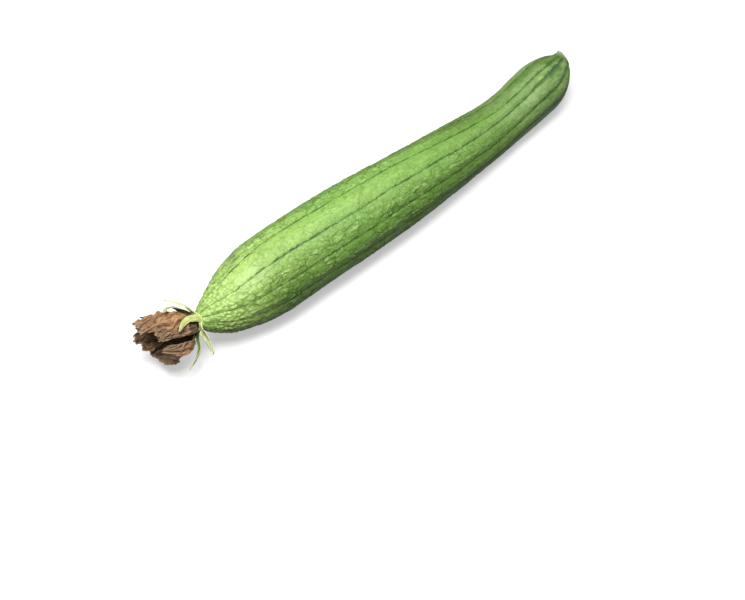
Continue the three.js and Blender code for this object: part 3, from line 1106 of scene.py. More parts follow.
@dataclass(frozen=True)
class Band:
    """A lengthwise band of colour, with the places where it begins and where it is at its full strength."""

    strength: float
    angle: float
    width: float
    begins: float
    full: float

    def share(self, x: Array, angle: Array) -> Array:
        """The strength times a bell curve round the fruit and a smooth rise along it."""
        round_ = hump(wrap(angle - self.angle), 0.0, self.width)
        return self.strength * round_ * smoothstep(x, self.begins, self.full)


@dataclass(frozen=True)
class Grid:
    """The fruit's rings and sides, with each measure at every crossing."""

    x: Array  # distance from the blossom end
    angle: Array  # degrees from the level side to the top and on
    girth: Array  # half thickness
    smooth: Array  # place before any relief
    rib: Array  # rib number, whole on a seam
    rib_width: Array
    nose: Array  # 1 at the blossom end, 0 past the pebbles
    head: Array  # 1 at the stem end, 0 along the body
    rough: Array  # how wrinkled the skin is


@dataclass(frozen=True)
class Marks:
    """Where each kind of mark lies on the fruit's grid, most of them as masks from 0 to 1."""

    seam: Array
    groove: Array  # the broken groove halfway between two seams
    scallop: Array  # the small swells beside that groove
    patch: Array  # where the wide net is deep
    crack: Array
    rim: Array  # the raised lip beside a crack
    pillow: Array
    tone: Array  # one value for each cell of the wide net
    small: Array  # the fine net
    pebble: Array
    pebble_tone: Array  # one value for each pebble
    crevice: Array  # between the pebbles


@dataclass
class Fruit:
    """The fruit's skin: ribs between wandering seams, nets of cracks, pillows, and a pebbled blossom end."""

    line: GourdLine
    seams: tuple[Seam, ...] = (
        Seam(10.0, 6.0),
        Seam(47.0, 14.0, 0.6),
        Seam(83.0, 12.0, 1.5),
        Seam(118.0, -4.5, 1.9),
        Seam(153.0, -5.0, 1.0),
        Seam(183.0, 0.0, 1.3),
        Seam(220.0, 4.0),
        Seam(257.0, -3.0),
        Seam(293.0, 2.0),
        Seam(331.0, 5.0),
    )
    scars: tuple[ScarOrGlint, ...] = (
        ScarOrGlint(33.0, 66.0, 2.6, 1.0),
        ScarOrGlint(38.0, 45.0, 3.4, 0.7),
    )
    # A painted glint, drawn in the pale crest colour.
    glint: ScarOrGlint = ScarOrGlint(269.0, 108.0, 1.7, 1.2)  # a pale one
    deep_patches: tuple[Patch, ...] = (
        Patch(0.40, 294.0, 10.0, 90.0, 38.0),
        Patch(1.20, 268.0, 9.0, 117.0, 6.0),
        Patch(0.24, 222.0, 18.0, 130.0, 16.0),
        # Painted shade on the top near the blossom end.
        Patch(0.26, 40.0, 15.0, 110.0, 20.0),
    )
    deep_bands: tuple[Band, ...] = (
        Band(0.70, 66.0, 28.0, 160.0, 210.0),
        Band(0.44, 82.0, 13.0, 185.0, 205.0),
        Band(0.34, 160.0, 9.0, 20.0, 45.0),
    )
    grey_band: Band = Band(0.28, 124.0, 15.0, 55.0, 90.0)
    rings: int = 470
    sides: int = 208
    sink: float = 0.22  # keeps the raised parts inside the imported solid
    rib_depth: float = 0.30
    seam_depth: float = 0.36
    middle_depth: float = 0.24
    crack_depth: float = 0.26
    net_depth: float = 0.12
    pillow_height: float = 0.20
    pebble_height: float = 0.62
    lump_height: float = 0.40
    grit_height: float = 0.08
    net_cell: float = 9.0  # a cell of the wide net, along the fruit
    net_across: int = 3  # its cells across a rib
    crack_width: float = 0.13  # in cells, as the next two are
    rim_at: float = 0.30
    rim_width: float = 0.12
    small_cell: float = 3.4  # a cell of the fine net, along the fruit
    small_across: int = 5
    small_width: float = 0.14
    pebble_size: float = 1.9
    seam_width: float = 0.62  # of the sunk line under a seam
    head_seam_width: float = 0.5  # what the stem end adds to that
    groove_width: float = 0.5
    scallop_at: float = 1.2  # beside the groove
    scallop_width: float = 0.9
    pebbled: tuple[float, float] = (10.0, 44.0)  # where the pebbles begin to fade and where they end
    stem_end: tuple[float, float] = (230.0, 286.0)  # where the stem end's look begins and is full
    closing: tuple[float, float] = (4.0, 12.0)  # the girths between which the relief fades in
    top_angle: float = 100.0  # round which the skin is smoothest
    net_seed: int = 5
    small_seed: int = 6
    pebble_seed: int = 8
    soft: Noise = field(default_factory=lambda: Noise(11))
    fine: Noise = field(default_factory=lambda: Noise(23))
    wander: Noise = field(default_factory=lambda: Noise(3))
    finish: SkinFinish = field(default_factory=SkinFinish)

    def stations(self) -> Array:
        """Where the rings lie: 0.65 of an even step and 0.35 of a cosine's, so closer at both ends.

        Returns:
            Distances from the blossom end.
        """
        u = np.linspace(0.0, 1.0, self.rings)
        way = 0.65 * u + 0.35 * (0.5 - 0.5 * np.cos(np.pi * u))
        return self.line.first + (self.line.last - self.line.first) * way

    def rib(self, x: Array, angle: Array) -> Array:
        """Count ribs round the fruit, with a whole number on each seam.

        A seam lies at its own angle, plus its lean in the stem half, plus a drift that all share: back by
        34 exp(-x / 15) degrees near the blossom and by 3 past it, and forward by 8 at two thirds of the way.
        Noise makes it wander.

        Args:
            x: Distance from the blossom pole.
            angle: Degrees round the fruit.

        Returns:
            The rib number, from 0 to the number of seams.
        """
        drift = -34.0 * np.exp(-x / 15.0) - 3.0 * hump(x, 55.0, 25.0) + 8.0 * hump(x, 207.0, 38.0)
        leaning = smoothstep(x, 120.0, 290.0)
        places = []
        for number, seam in enumerate(self.seams):
            row = np.stack([x / 24.0, np.full_like(x, 3.7 * number), np.zeros_like(x)], axis=-1)
            wandering = 1.9 * self.wander.layers(row, 4)
            places.append(seam.angle + drift + seam.lean * leaning + wandering)
        count = len(places)
        at = np.stack([*places, places[0] + 360.0])
        beyond = (angle - places[0]) % 360.0 + places[0]
        below = np.sum(beyond >= at[:count], axis=0) - 1
        low = np.take_along_axis(at, below[None], axis=0)[0]
        high = np.take_along_axis(at, below[None] + 1, axis=0)[0]
        return below + (beyond - low) / (high - low)

    def tints(self, x: Array, angle: Array) -> Array:
        """How pale, how deep and how grey the green is, from 0 to 1.

        It is pale at the blossom end, deeper along the body and in its own patches and bands, and grey at the
        stem end, on the shoulder under the stem and in one band. It is paler along the top, which is painted
        light, and deeper on the flank and, near the blossom end, on the top and the upper flank, which is
        painted shade.

        Args:
            x: Distance from the blossom end.
            angle: Degrees round the fruit.

        Returns:
            Three numbers for each point.
        """
        top, far = hump(wrap(angle - 98.0), 0.0, 24.0), hump(angle, 45.0, 30.0)
        # The flank, made less pale and deeper: painted shade.
        flank = smoothstep(angle, 130.0, 195.0) * (1.0 - smoothstep(angle, 220.0, 300.0))
        pale = (1.0 - smoothstep(x, 12.0, 100.0)) * (1.0 - 0.6 * flank * smoothstep(x, 12.0, 50.0))
        # Paler along the top: painted light.
        pale = pale + 0.30 * top * smoothstep(x, 50.0, 100.0) * (1.0 - smoothstep(x, 120.0, 190.0))
        side = smoothstep(angle, 104.0, 140.0) * (1.0 - smoothstep(angle, 210.0, 300.0))
        deep = 0.28 * smoothstep(x, 60.0, 190.0) * (1.0 - smoothstep(x, 225.0, 280.0)) * (1.0 - 0.6 * top)
        # Deeper on the upper flank near the blossom end: painted shade.
        deep = deep + 0.46 * side * hump(x, 48.0, 22.0) + 0.85 * hump(x, 299.0, 14.0)
        # Its flank share is painted shade.
        body = 0.20 * flank + 0.28 * far * smoothstep(x, 100.0, 160.0)
        deep = deep + body * smoothstep(x, 20.0, 45.0)
        deep = deep + sum(zone.share(x, angle) for zone in (*self.deep_patches, *self.deep_bands))
        shoulder = smoothstep(x, 296.0, 298.5)
        deep = deep * (1.0 - 0.8 * shoulder)
        dark_head = smoothstep(deep, 0.7, 1.2) * smoothstep(x, 235.0, 262.0)
        grey = 0.80 * smoothstep(x, 206.0, 262.0) + self.grey_band.share(x, angle)
        grey = np.maximum(grey, shoulder) * (1.0 - 0.85 * dark_head)
        return np.clip(np.stack([pale, deep, grey], axis=-1), 0.0, 1.0)

    def grid(self) -> Grid:
        """Lay rings and sides over the fruit and measure it at every crossing.

        Returns:
            The measures.
        """
        turns = np.linspace(0.0, 360.0, self.sides, endpoint=False)
        x, angle = np.meshgrid(self.stations(), turns, indexing="ij")
        girth = self.line.girth(x)
        flank = 0.40 + 0.60 * smoothstep(np.abs(wrap(angle - self.top_angle)), 14.0, 40.0)
        return Grid(
            x=x,
            angle=angle,
            girth=girth,
            smooth=self.line.ring(x, angle, girth),
            rib=self.rib(x, angle),
            rib_width=math.tau * girth / len(self.seams),
            nose=1.0 - smoothstep(x, *self.pebbled),
            head=smoothstep(x, *self.stem_end),
            rough=flank * (1.0 - 0.65 * smoothstep(x, 170.0, 265.0)),
        )

    def along_seams(self, grid: Grid, length: float, apart: float) -> Array:
        """Noise in stretches of a length in millimetres, which differ from one seam to the next."""
        row = np.stack([grid.x / length, apart * grid.rib.round(), np.zeros_like(grid.x)], axis=-1)
        return self.soft(row)

    def marks(self, grid: Grid) -> Marks:
        """Find where each kind of mark lies.

        Seams and grooves are bell curves of the distance to a whole and to a half rib number. The nets are
        bell curves of the distance to the borders of cells, and the pebbles are grains in space. Noise bends
        them all.

        Args:
            grid: The fruit's measures.

        Returns:
            The marks.
        """
        soft, fine, smooth, rib = self.soft, self.fine, grid.smooth, grid.rib
        count = len(self.seams)
        warp, shiver = soft(smooth / 5.0), fine.layers(smooth / 2.6, 2)
        away = np.abs((rib - np.round(rib)) * grid.rib_width + 0.35 * shiver)
        halfway = (rib - np.floor(rib) - 0.5) * grid.rib_width + 1.2 * soft(smooth / 8.0 + 3.0) + 0.4 * shiver
        stretch = smoothstep(self.along_seams(grid, 13.0, 3.0), -0.3, 0.25)
        beside = hump(halfway, self.scallop_at, self.scallop_width)

        along, round_ = grid.x / self.net_cell, rib * self.net_across
        bent = along + 0.45 * warp, round_ + 0.40 * soft(smooth / 6.0 + 40.0)
        border, middle, tone = cells(*bent, self.net_across * count, self.net_seed)
        lip = hump(border, self.rim_at, self.rim_width)
        patch = smoothstep(soft(smooth / 14.0 + 9.0), -0.35, 0.2)
        along, round_ = grid.x / self.small_cell, rib * self.small_across
        bent = along + 0.4 * warp, round_ + 0.25 * shiver
        small_border, _, _ = cells(*bent, self.small_across * count, self.small_seed)
        small_patch = smoothstep(soft(smooth / 11.0 + 70.0), 0.0, 0.35)
        packed = smooth / self.pebble_size + 0.25 * warp[..., None]
        off_middle, pebble_tone = grains(packed, self.pebble_seed)
        return Marks(
            seam=hump(away, 0.0, self.seam_width + self.head_seam_width * grid.head),
            groove=hump(halfway, 0.0, self.groove_width) * stretch * grid.rough,
            scallop=beside * np.abs(fine(smooth / 3.6 + 5.0)) * 2.0 * grid.rough,
            patch=patch,
            crack=hump(border, 0.0, self.crack_width) * (0.25 + 0.75 * patch),
            rim=lip * smoothstep(fine(smooth / 3.4 + 33.0), 0.0, 0.4),
            pillow=(1.0 - smoothstep(middle, 0.1, 0.7)) * tone**1.5,
            tone=tone,
            small=hump(small_border, 0.0, self.small_width) * small_patch,
            pebble=1.0 - smoothstep(off_middle, 0.15, 0.60),
            pebble_tone=pebble_tone,
            crevice=smoothstep(off_middle, 0.50, 0.75) * grid.nose,
        )

    def relief(self, grid: Grid, marks: Marks) -> Array:
        """How far the skin stands off the girth, in millimetres.

        It is less the rib's cosine, the seams, the broken grooves halfway between them and the cracks of both
        nets, plus pillows on some cells, pebbles at the blossom end, and low lumps and grit from noise.

        Args:
            grid: The fruit's measures.
            marks: Where its marks lie.

        Returns:
            One height for each crossing.
        """
        nose, rough = grid.nose, grid.rough
        clear = 1.0 - 0.7 * nose  # the pebbles hide most of the ribs and seams
        relief = -self.sink - self.rib_depth * clear * np.cos(math.tau * grid.rib)
        seam_depth = self.seam_depth * marks.seam * (0.6 + 0.4 * marks.patch) * clear
        relief = relief - seam_depth * (1.0 - 0.5 * grid.head)
        relief = relief - self.middle_depth * marks.groove + 0.8 * self.middle_depth * marks.scallop
        relief = relief - self.crack_depth * marks.crack * rough
        relief = relief + 0.5 * self.crack_depth * marks.rim * rough * marks.patch
        relief = relief - self.net_depth * marks.small * (0.5 + rough)
        relief = relief + self.pillow_height * (marks.pillow - 0.15) * rough
        pebbles = (marks.pebble - 0.4) * (0.4 + marks.pebble_tone) - 0.4 * marks.crevice
        relief = relief + self.pebble_height * nose * pebbles
        relief = relief + self.lump_height * self.soft.layers(grid.smooth / 15.0, 2) * 0.5
        return relief + self.grit_height * self.fine.layers(grid.smooth / 1.9, 2)

    def attributes(self, grid: Grid, marks: Marks) -> dict[str, Array]:
        """What the finish reads at each vertex, under the names that SkinFinish.material explains.

        Args:
            grid: The fruit's measures.
            marks: Where its marks lie.

        Returns:
            Three numbers for each crossing, by name.
        """
        x, angle, rib, nose, rough = grid.x, grid.angle, grid.rib, grid.nose, grid.rough
        scars = np.max([scar.mask(x, angle, grid.girth) for scar in self.scars], axis=0)
        # Pale pebbles, and painted highlights on the crack rims, on the scallops and in one glint.
        raised = 1.25 * nose * marks.pebble * marks.pebble_tone + 0.8 * marks.rim * marks.patch * rough
        raised = np.maximum(raised + 0.9 * marks.scallop, self.glint.mask(x, angle, grid.girth))
        # The dark lines of both nets, with painted shade in the halfway grooves and between the pebbles.
        dark = np.maximum(marks.crack * rough, np.maximum(0.9 * marks.groove, 0.6 * marks.small))
        dark = np.maximum(dark * (1.0 - 0.5 * nose), 0.40 * marks.crevice)

        broad = np.array([seam.broad for seam in self.seams])[np.round(rib).astype(int) % len(self.seams)]
        blotchy = np.clip(0.55 + 1.3 * self.along_seams(grid, 9.0, 5.0), 0.1, 1.5)
        blue = (hump(x, 64.0, 16.0) + hump(x, 284.0, 10.0)) * hump(wrap(angle - 118.0), 0.0, 14.0)
        width = 0.46 - 0.24 * nose + 1.5 * grid.head**1.2 * broad * blotchy
        width = width * (1.0 + (0.8 - 0.3 * grid.head) * blue)

        # The relief's height, which the finish paints as light on high parts and as shade on low ones.
        level = self.pillow_height * (marks.pillow - 0.3) + 0.5 * self.crack_depth * marks.rim * marks.patch
        level = rough * (level - self.net_depth * marks.small)
        level = level + nose * self.pebble_height * (marks.pebble - 0.5) * (0.4 + marks.pebble_tone)
        level = np.clip(1.5 * level, -1.0, 1.0)
        worn = rough * (1.0 - 0.8 * nose) + 0.15 * nose
        speckled = hump(wrap(angle - 60.0), 0.0, 24.0) * (1.0 - smoothstep(x, 90.0, 190.0)) + 0.35
        return {
            "rib": np.stack([np.sin(math.tau * rib), np.cos(math.tau * rib), width], axis=-1),
            "skin": np.stack([dark, np.clip(raised, 0.0, 1.0), marks.tone], axis=-1),
            "tint": self.tints(x, angle),
            "marks": np.stack([grid.rib_width, 0.8 * scars, blue], axis=-1),
            "rough_and_relief_shade": np.stack([worn, level, np.clip(speckled, 0.0, 1.0)], axis=-1),
        }

    def build(self, shift: Array) -> bpy.types.Object:
        """Make the skin: the smooth fruit with its relief, which fades out where both ends close.

        Args:
            shift: From the gourd's millimetres to the row's.

        Returns:
            The piece.
        """
        grid = self.grid()
        marks = self.marks(grid)
        fade = smoothstep(grid.girth, *self.closing)
        points = self.line.ring(grid.x, grid.angle, grid.girth + self.relief(grid, marks) * fade)
        points[..., 2] = np.maximum(points[..., 2], 0.0)
        piece = round_piece("gourd_skin", points + shift, self.attributes(grid, marks))
        piece.data.materials.append(self.finish.material())
        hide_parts("fruit")
        return piece


@dataclass
class StemStub:
    """The cut stem: a wide five-sided cone that leans aside, with fibres and a dished cut face."""

    line: GourdLine
    length: float = 3.5
    gap: float = 0.3
    radius: float = 2.2
    flare: float = 2.9
    spread: float = 1.2
    rise: float = 0.1
    side: float = 3.2
    corner: float = 0.12  # how far the five corners stand out
    bark: float = 0.16
    foot: float = 1.2  # how far the bark runs down over the fruit's shoulder
    buttress: float = 1.0  # how much wider the foot is on one side
    buttress_at: float = 60.0  # that side, in degrees from the level to the top
    dish: float = 0.30
    wall_rings: int = 34
    face_rings: int = 7
    sides: int = 72
    seed: int = 31
    finish: StubFinish = field(default_factory=StubFinish)

    def build(self, shift: Array) -> bpy.types.Object:
        """Make the cone.

        At the share u of its height the radius is r + flare (1 - u)^spread + corner cos 5a, with bark from
        noise and a bulge at the foot, and the cut face sinks towards its middle.

        Args:
            shift: From the gourd's millimetres to the row's.

        Returns:
            The piece.
        """
        last = np.array(self.line.last)
        along, side, up = self.line.axes(last)
        start = self.line.centre(last) + along * self.gap
        low = -self.foot / self.length
        u = np.concatenate([np.linspace(low, 1.0, self.wall_rings), np.ones(self.face_rings)])
        shrink = np.concatenate([np.ones(self.wall_rings), np.linspace(0.93, 0.1, self.face_rings)])
        turns = np.linspace(0.0, 360.0, self.sides, endpoint=False)
        u, angle = np.meshgrid(u, turns, indexing="ij")
        shrink = np.broadcast_to(shrink[:, None], u.shape)
        turn = np.radians(angle)
        wood = Noise(self.seed)
        round_ = np.stack([np.cos(turn) * 3.0, np.sin(turn) * 3.0, u * 0.8], axis=-1)
        radius = self.radius + self.flare * (1.0 - u) ** self.spread + self.corner * np.cos(5.0 * turn)
        radius = radius + self.bark * wood.layers(round_) - 0.2 * hump(u, 1.0, 0.05)
        beside = wrap(angle - self.buttress_at)
        bulge = hump(beside, 0.0, 46.0) * (1.0 - np.clip(u, 0.0, 1.0)) * smoothstep(u, low, 0.15)
        radius = (radius + self.buttress * bulge) * shrink
        sunk = self.dish * (1.0 - shrink) + 0.12 * wood(round_ * 1.7 + 5.0) * (shrink < 1.0)
        height = self.length * u - sunk
        level = (radius * np.cos(turn))[..., None] * side + (radius * np.sin(turn))[..., None] * up
        lean = np.array([0.0, self.side, self.rise]) * (np.clip(u, 0.0, 1.0) ** 2)[..., None]
        points = start + along * height[..., None] + lean + level
        green_to = -0.35 + 0.55 * hump(beside, 0.0, 45.0)
        dry = smoothstep(u - green_to, 0.0, 0.5)
        blade = np.stack([height, turn * self.radius, dry], axis=-1)
        piece = round_piece("gourd_stem", points + shift, {"blade": blade})
        piece.data.materials.append(self.finish.material())
        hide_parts("stem_stub")
        return piece


# ---- The flower


@dataclass
class Calyx:
    """The green cup at the blossom end: a ribbed bowl with a round rim."""

    line: FlowerLine
    root_radius: float = 4.6
    rim_radius: float = 5.4
    wall: float = 0.9
    height: float = 2.4
    floor: float = 1.4
    rim_round: float = 0.35
    lobes: float = 10.0
    lobe_phase: float = 22.0
    sink: float = 0.12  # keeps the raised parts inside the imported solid
    drop: float = 0.1
    stations: int = 56
    rim_station: int = 34  # from here on the outline faces inwards
    inside_shade: float = 0.6
    sides: int = 96
    seed: int = 41

    def build(self, shift: Array, green: bpy.types.Material) -> bpy.types.Object:
        """Make the cup: an outline of radius and height, smoothed, turned round the flower's axis and ribbed.

        Args:
            shift: From the gourd's millimetres to the row's.
            green: The material.

        Returns:
            The piece.
        """
        root, rim, high = self.root_radius, self.rim_radius, self.height
        outline = [
            [root + 0.8, -1.6],
            [root + 0.2, -0.3],
            [root + 0.65 * (rim - root), 0.45 * high],
            [rim, high - self.rim_round],
            [rim - self.wall / 2, high],
            [rim - self.wall, high - self.rim_round],
            [root - self.wall, self.floor],
            [1.0, self.floor - 0.1],
        ]
        profile = follow(np.array(outline), np.linspace(0.0, 1.0, self.stations))
        turns = np.linspace(0.0, 360.0, self.sides, endpoint=False)
        radius, angle = np.meshgrid(profile[:, 0], turns, indexing="ij")
        forward = np.broadcast_to(profile[:, 1][:, None], radius.shape)
        rough = Noise(self.seed)
        lobes = np.cos(np.radians(self.lobes * (angle - self.lobe_phase)))
        outside = smoothstep(radius, 3.0, 4.5)
        here = self.line.point(radius, forward, angle)
        radius = radius + outside * (0.10 * lobes + 0.16 * rough.layers(here / 2.4)) - self.sink * outside
        forward = forward + 0.25 * smoothstep(forward, 1.2, 2.4) * rough(here / 3.0 + 8.0) - self.drop
        points = self.line.point(radius, forward, angle)
        inside = np.zeros_like(radius)
        inside[self.rim_station :] = self.inside_shade
        blade = np.stack([forward, np.radians(angle) * root, 0.4 * hump(forward, high, 0.7)], axis=-1)
        # Painted shade in the grooves between the lobes and inside the cup.
        tint = np.stack([0.25 * (1.0 - lobes) / 2 + inside, 0.3 * inside, 0.2 * outside], axis=-1)
        piece = round_piece("gourd_calyx", points + shift, {"blade": blade, "tint": tint})
        piece.data.materials.append(green)
        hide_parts("calyx_tube")
        return piece


@dataclass(frozen=True)
class Sepal:
    """One green sepal, on a path of distance from the flower's axis, forward, and angle round it."""

    number: int
    width: float
    path: Path
    tip_width: float = 0.9
    thickness: float = 0.65
    vein_length: float = 18.0  # millimetres from foot to tip, as its veins count them
    shade: float = 0.0
    dry: float = 0.0
    dry_inside: float = 0.0
    # Painted light: how much paler the blade is made.
    bright: float = 0.0
    rows: int = 72
    columns: int = 25
    seed: int = 60

    def build(self, line: FlowerLine, shift: Array, green: bpy.types.Material) -> bpy.types.Object:
        """Make the blade: a strip along the path, widest low down, cupped, with a midrib and a wavy edge.

        Its half width is half of tip + (width - tip) sin(pi (0.28 + 0.72 s)), and it sinks to its edges by a
        quarter of that.

        Args:
            line: The flower's frame.
            shift: From the gourd's millimetres to the row's.
            green: The material.

        Returns:
            The piece.
        """
        ways = np.linspace(0.0, 1.0, self.rows), np.linspace(-1.0, 1.0, self.columns)
        s, t = np.meshgrid(*ways, indexing="ij")

        def middle(share: Array) -> Array:
            """The place on the path."""
            return line.point(*np.moveaxis(follow(self.path, share), -1, 0))

        tangent = unit(middle(np.clip(s + 0.02, 0, 1)) - middle(np.clip(s - 0.02, 0, 1)))
        _, forward, angle = np.moveaxis(follow(self.path, s), -1, 0)
        across = line.point(1.0, forward, angle + 90.0) - line.point(0.0, forward, 0.0)
        width = unit(across - tangent * np.sum(across * tangent, axis=-1, keepdims=True))
        outward = np.cross(width, tangent)
        crumple = Noise(self.seed + self.number)
        swell = np.sin(math.pi * (0.28 + 0.72 * s))
        half = 0.5 * (self.tip_width + (self.width - self.tip_width) * swell)
        half = half * (1.0 - 0.55 * smoothstep(s, 0.9, 1.0)) * (1.0 + 0.30 * (1.0 - smoothstep(s, 0.0, 0.35)))
        edge = 1.0 + 0.12 * crumple(np.stack([6.0 * s, np.sign(t) * 3.0, np.zeros_like(s)], axis=-1))
        flat = np.stack([5.0 * s, 1.6 * t, np.zeros_like(s)], axis=-1)
        bend = 0.35 * crumple.layers(flat) * smoothstep(s, 0.05, 0.4)
        keel = -0.25 * half * t * t + 0.16 * hump(t, 0.0, 0.16) * (1.0 - 0.6 * s) + bend
        thick = 0.5 * self.thickness * (1.0 - 0.45 * s) * np.sqrt(np.clip(1.0 - 0.85 * t**4, 0.05, 1.0))
        sheet = middle(s) + width * (half * edge * t)[..., None] + outward * keel[..., None]
        outer, inner = sheet + outward * thick[..., None], sheet - outward * thick[..., None]
        rim_mask = np.clip(smoothstep(np.abs(t), 0.55, 1.0) + smoothstep(s, 0.8, 1.0), 0.0, 1.0)
        blade = np.stack([self.vein_length * s, half * t, rim_mask], axis=-1)
        shade = np.full_like(s, self.shade)
        bright = np.full_like(s, self.bright)
        tint = np.stack([shade, self.dry * smoothstep(s, 0.4, 1.0), bright], axis=-1)
        # The underside is made darker: painted shade.
        under = np.stack([shade + 0.3, np.full_like(s, self.dry_inside), bright], axis=-1)
        name = f"sepal_{self.number}"
        attributes = {"blade": (blade, blade), "tint": (tint, under)}
        piece = blade_piece(f"gourd_{name}", outer + shift, inner + shift, attributes)
        piece.data.materials.append(green)
        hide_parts(name)
        return piece


@dataclass(frozen=True)
class Petal:
    """One dried petal: a crumpled, pleated strip between two edges of a bell, with a torn end.

    Each edge is a path of distance from the flower's axis, forward from the petal's foot, and angle round it.
    """

    number: int
    low: Path
    high: Path
    thickness: float = 0.40
    pleats: float = 3.0
    pleat: float = 0.25
    crumple: float = 0.40
    slope: float = 0.16
    facets: tuple[float, ...] = (10.0, 6.6, 4.7, 3.3)  # the lengths of its folded waves
    stretch: float = 1.2
    tear: float = 0.08
    join: float = 9.0  # degrees by which it widens at its foot, where the petals meet
    curl: float = 0.5
    warmth: float = 0.2
    # Painted shade at the foot, where the sepals cover it.
    root_shade: float = 0.0
    rows: int = 176
    columns: int = 108
    seed: int = 80
    crease_seed: int = 90

    def build(
        self, line: FlowerLine, root: float, shift: Array, paper: bpy.types.Material
    ) -> bpy.types.Object:
        """Make the petal.

        The strip is read between its edges, raised by pleats that run lengthwise, by folds from noise, by
        flat facets between sharp creases and by a curl along both sides. Its torn end is a length that
        changes across it.

        Args:
            line: The flower's frame.
            root: How far forward the petals start.
            shift: From the gourd's millimetres to the row's.
            paper: The material.

        Returns:
            The piece.
        """
        ways = np.linspace(0.0, 1.0, self.rows), np.linspace(-1.0, 1.0, self.columns)
        s, t = np.meshgrid(*ways, indexing="ij")
        noise = Noise(self.seed + self.number)
        teeth = np.stack([3.6 * t, np.zeros_like(t), np.full_like(t, 0.5)], axis=-1)
        torn = self.tear * (noise.layers(teeth, 4) + 0.35) + 0.10 * t**4
        share = s * (1.0 - np.clip(torn, -0.06, 0.5) * smoothstep(s, 0.3, 1.0))
        side = np.stack([5.0 * s, np.sign(t) * 2.0, np.zeros_like(t)], axis=-1)
        across = 0.5 + 0.5 * t * (1.0 + 0.10 * noise.layers(side, 3))
        join = np.stack([0.0 * s, 0.0 * s, self.join * (1.0 - smoothstep(30.0 * share, 2.0, 9.0))], axis=-1)
        low, high = follow(self.low, share) - join, follow(self.high, share) + join
        radius, forward, angle = np.moveaxis(mix(low, high, across), -1, 0)
        smooth = line.point(radius, root + forward, angle)
        down, over = np.gradient(smooth, axis=0), np.gradient(smooth, axis=1)
        outward = unit(np.cross(over, down) + 1e-9)
        reach = np.linalg.norm(over, axis=-1).sum(axis=1, keepdims=True)
        run = np.cumsum(np.linalg.norm(down, axis=-1), axis=0)
        flare = smoothstep(run, 0.5, 7.0)
        flat = np.stack([run / 7.5, reach * across / 5.6, np.full_like(t, 3.3)], axis=-1)
        bent = flat + 0.30 * noise.layers(flat * 0.6, 2)[..., None]
        fold, hollow = noise.folds(bent, 2) - 0.5, noise.folds(bent * 1.15 + 21.0, 2) - 0.5
        sheet_mm = run / self.stretch, reach * across
        creases = creased(*sheet_mm, self.crease_seed + self.number, self.slope, self.facets)
        facet, raised, sunk = np.moveaxis(creases, -1, 0)
        pleat = np.cos(math.pi * self.pleats * t + 1.8 * noise.layers(flat * 0.45, 2))
        rolled = self.curl * smoothstep(np.abs(t), 0.62, 1.0) * (0.6 + 0.8 * noise(side + 9.0))
        lift = self.pleat * pleat + self.crumple * (fold - hollow) + facet + rolled
        sheet = smooth + outward * (flare * lift)[..., None]
        down, over = np.gradient(sheet, axis=0), np.gradient(sheet, axis=1)
        normal = unit(np.cross(over, down) + 1e-9)
        thick = 0.5 * self.thickness * (0.6 + 0.4 * (1.0 - s))[..., None]
        # Painted shade, deeper where the folds, facets and pleats lie low.
        fold_shade = np.clip(0.42 - 0.25 * fold - 0.25 * facet - 0.12 * pleat, 0.0, 1.0)
        fold_shade = np.clip(fold_shade + self.root_shade * (1.0 - smoothstep(run, 6.0, 16.0)), 0.0, 1.0)
        rim = np.clip(smoothstep(np.abs(t), 0.90, 1.0) + smoothstep(s, 0.95, 1.0), 0.0, 1.0)
        blade = np.stack([run, reach * across, rim], axis=-1)
        warm = self.warmth * (1.0 - 0.65 * smoothstep(s, 0.5, 0.9))
        warm = np.clip(warm + 0.25 * noise.layers(flat * 0.5 + 30.0, 2), 0.0, 1.0)
        tint = np.stack([fold_shade, warm, np.zeros_like(s)], axis=-1)
        # The inner sheet darkens towards its foot: painted shade deep inside the flower.
        inside = np.stack([fold_shade, 0.5 * warm, 0.80 * (1.0 - smoothstep(s, 0.30, 0.75))], axis=-1)
        name = f"petal_{self.number}"
        sheets = sheet + normal * thick + shift, sheet - normal * thick + shift
        # A random tone, paler on the higher facets as painted light.
        tone = np.clip(0.5 + 0.5 * noise.layers(flat * 1.4 + 60.0, 2) + 0.5 * facet, 0.0, 1.0)
        crumple = np.stack([sunk, raised, tone], axis=-1)
        attributes = {"blade": (blade, blade), "tint": (tint, inside), "crumple": (crumple, crumple)}
        piece = blade_piece(f"gourd_{name}", *sheets, attributes)
        piece.data.materials.append(paper)
        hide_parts(name)
        return piece


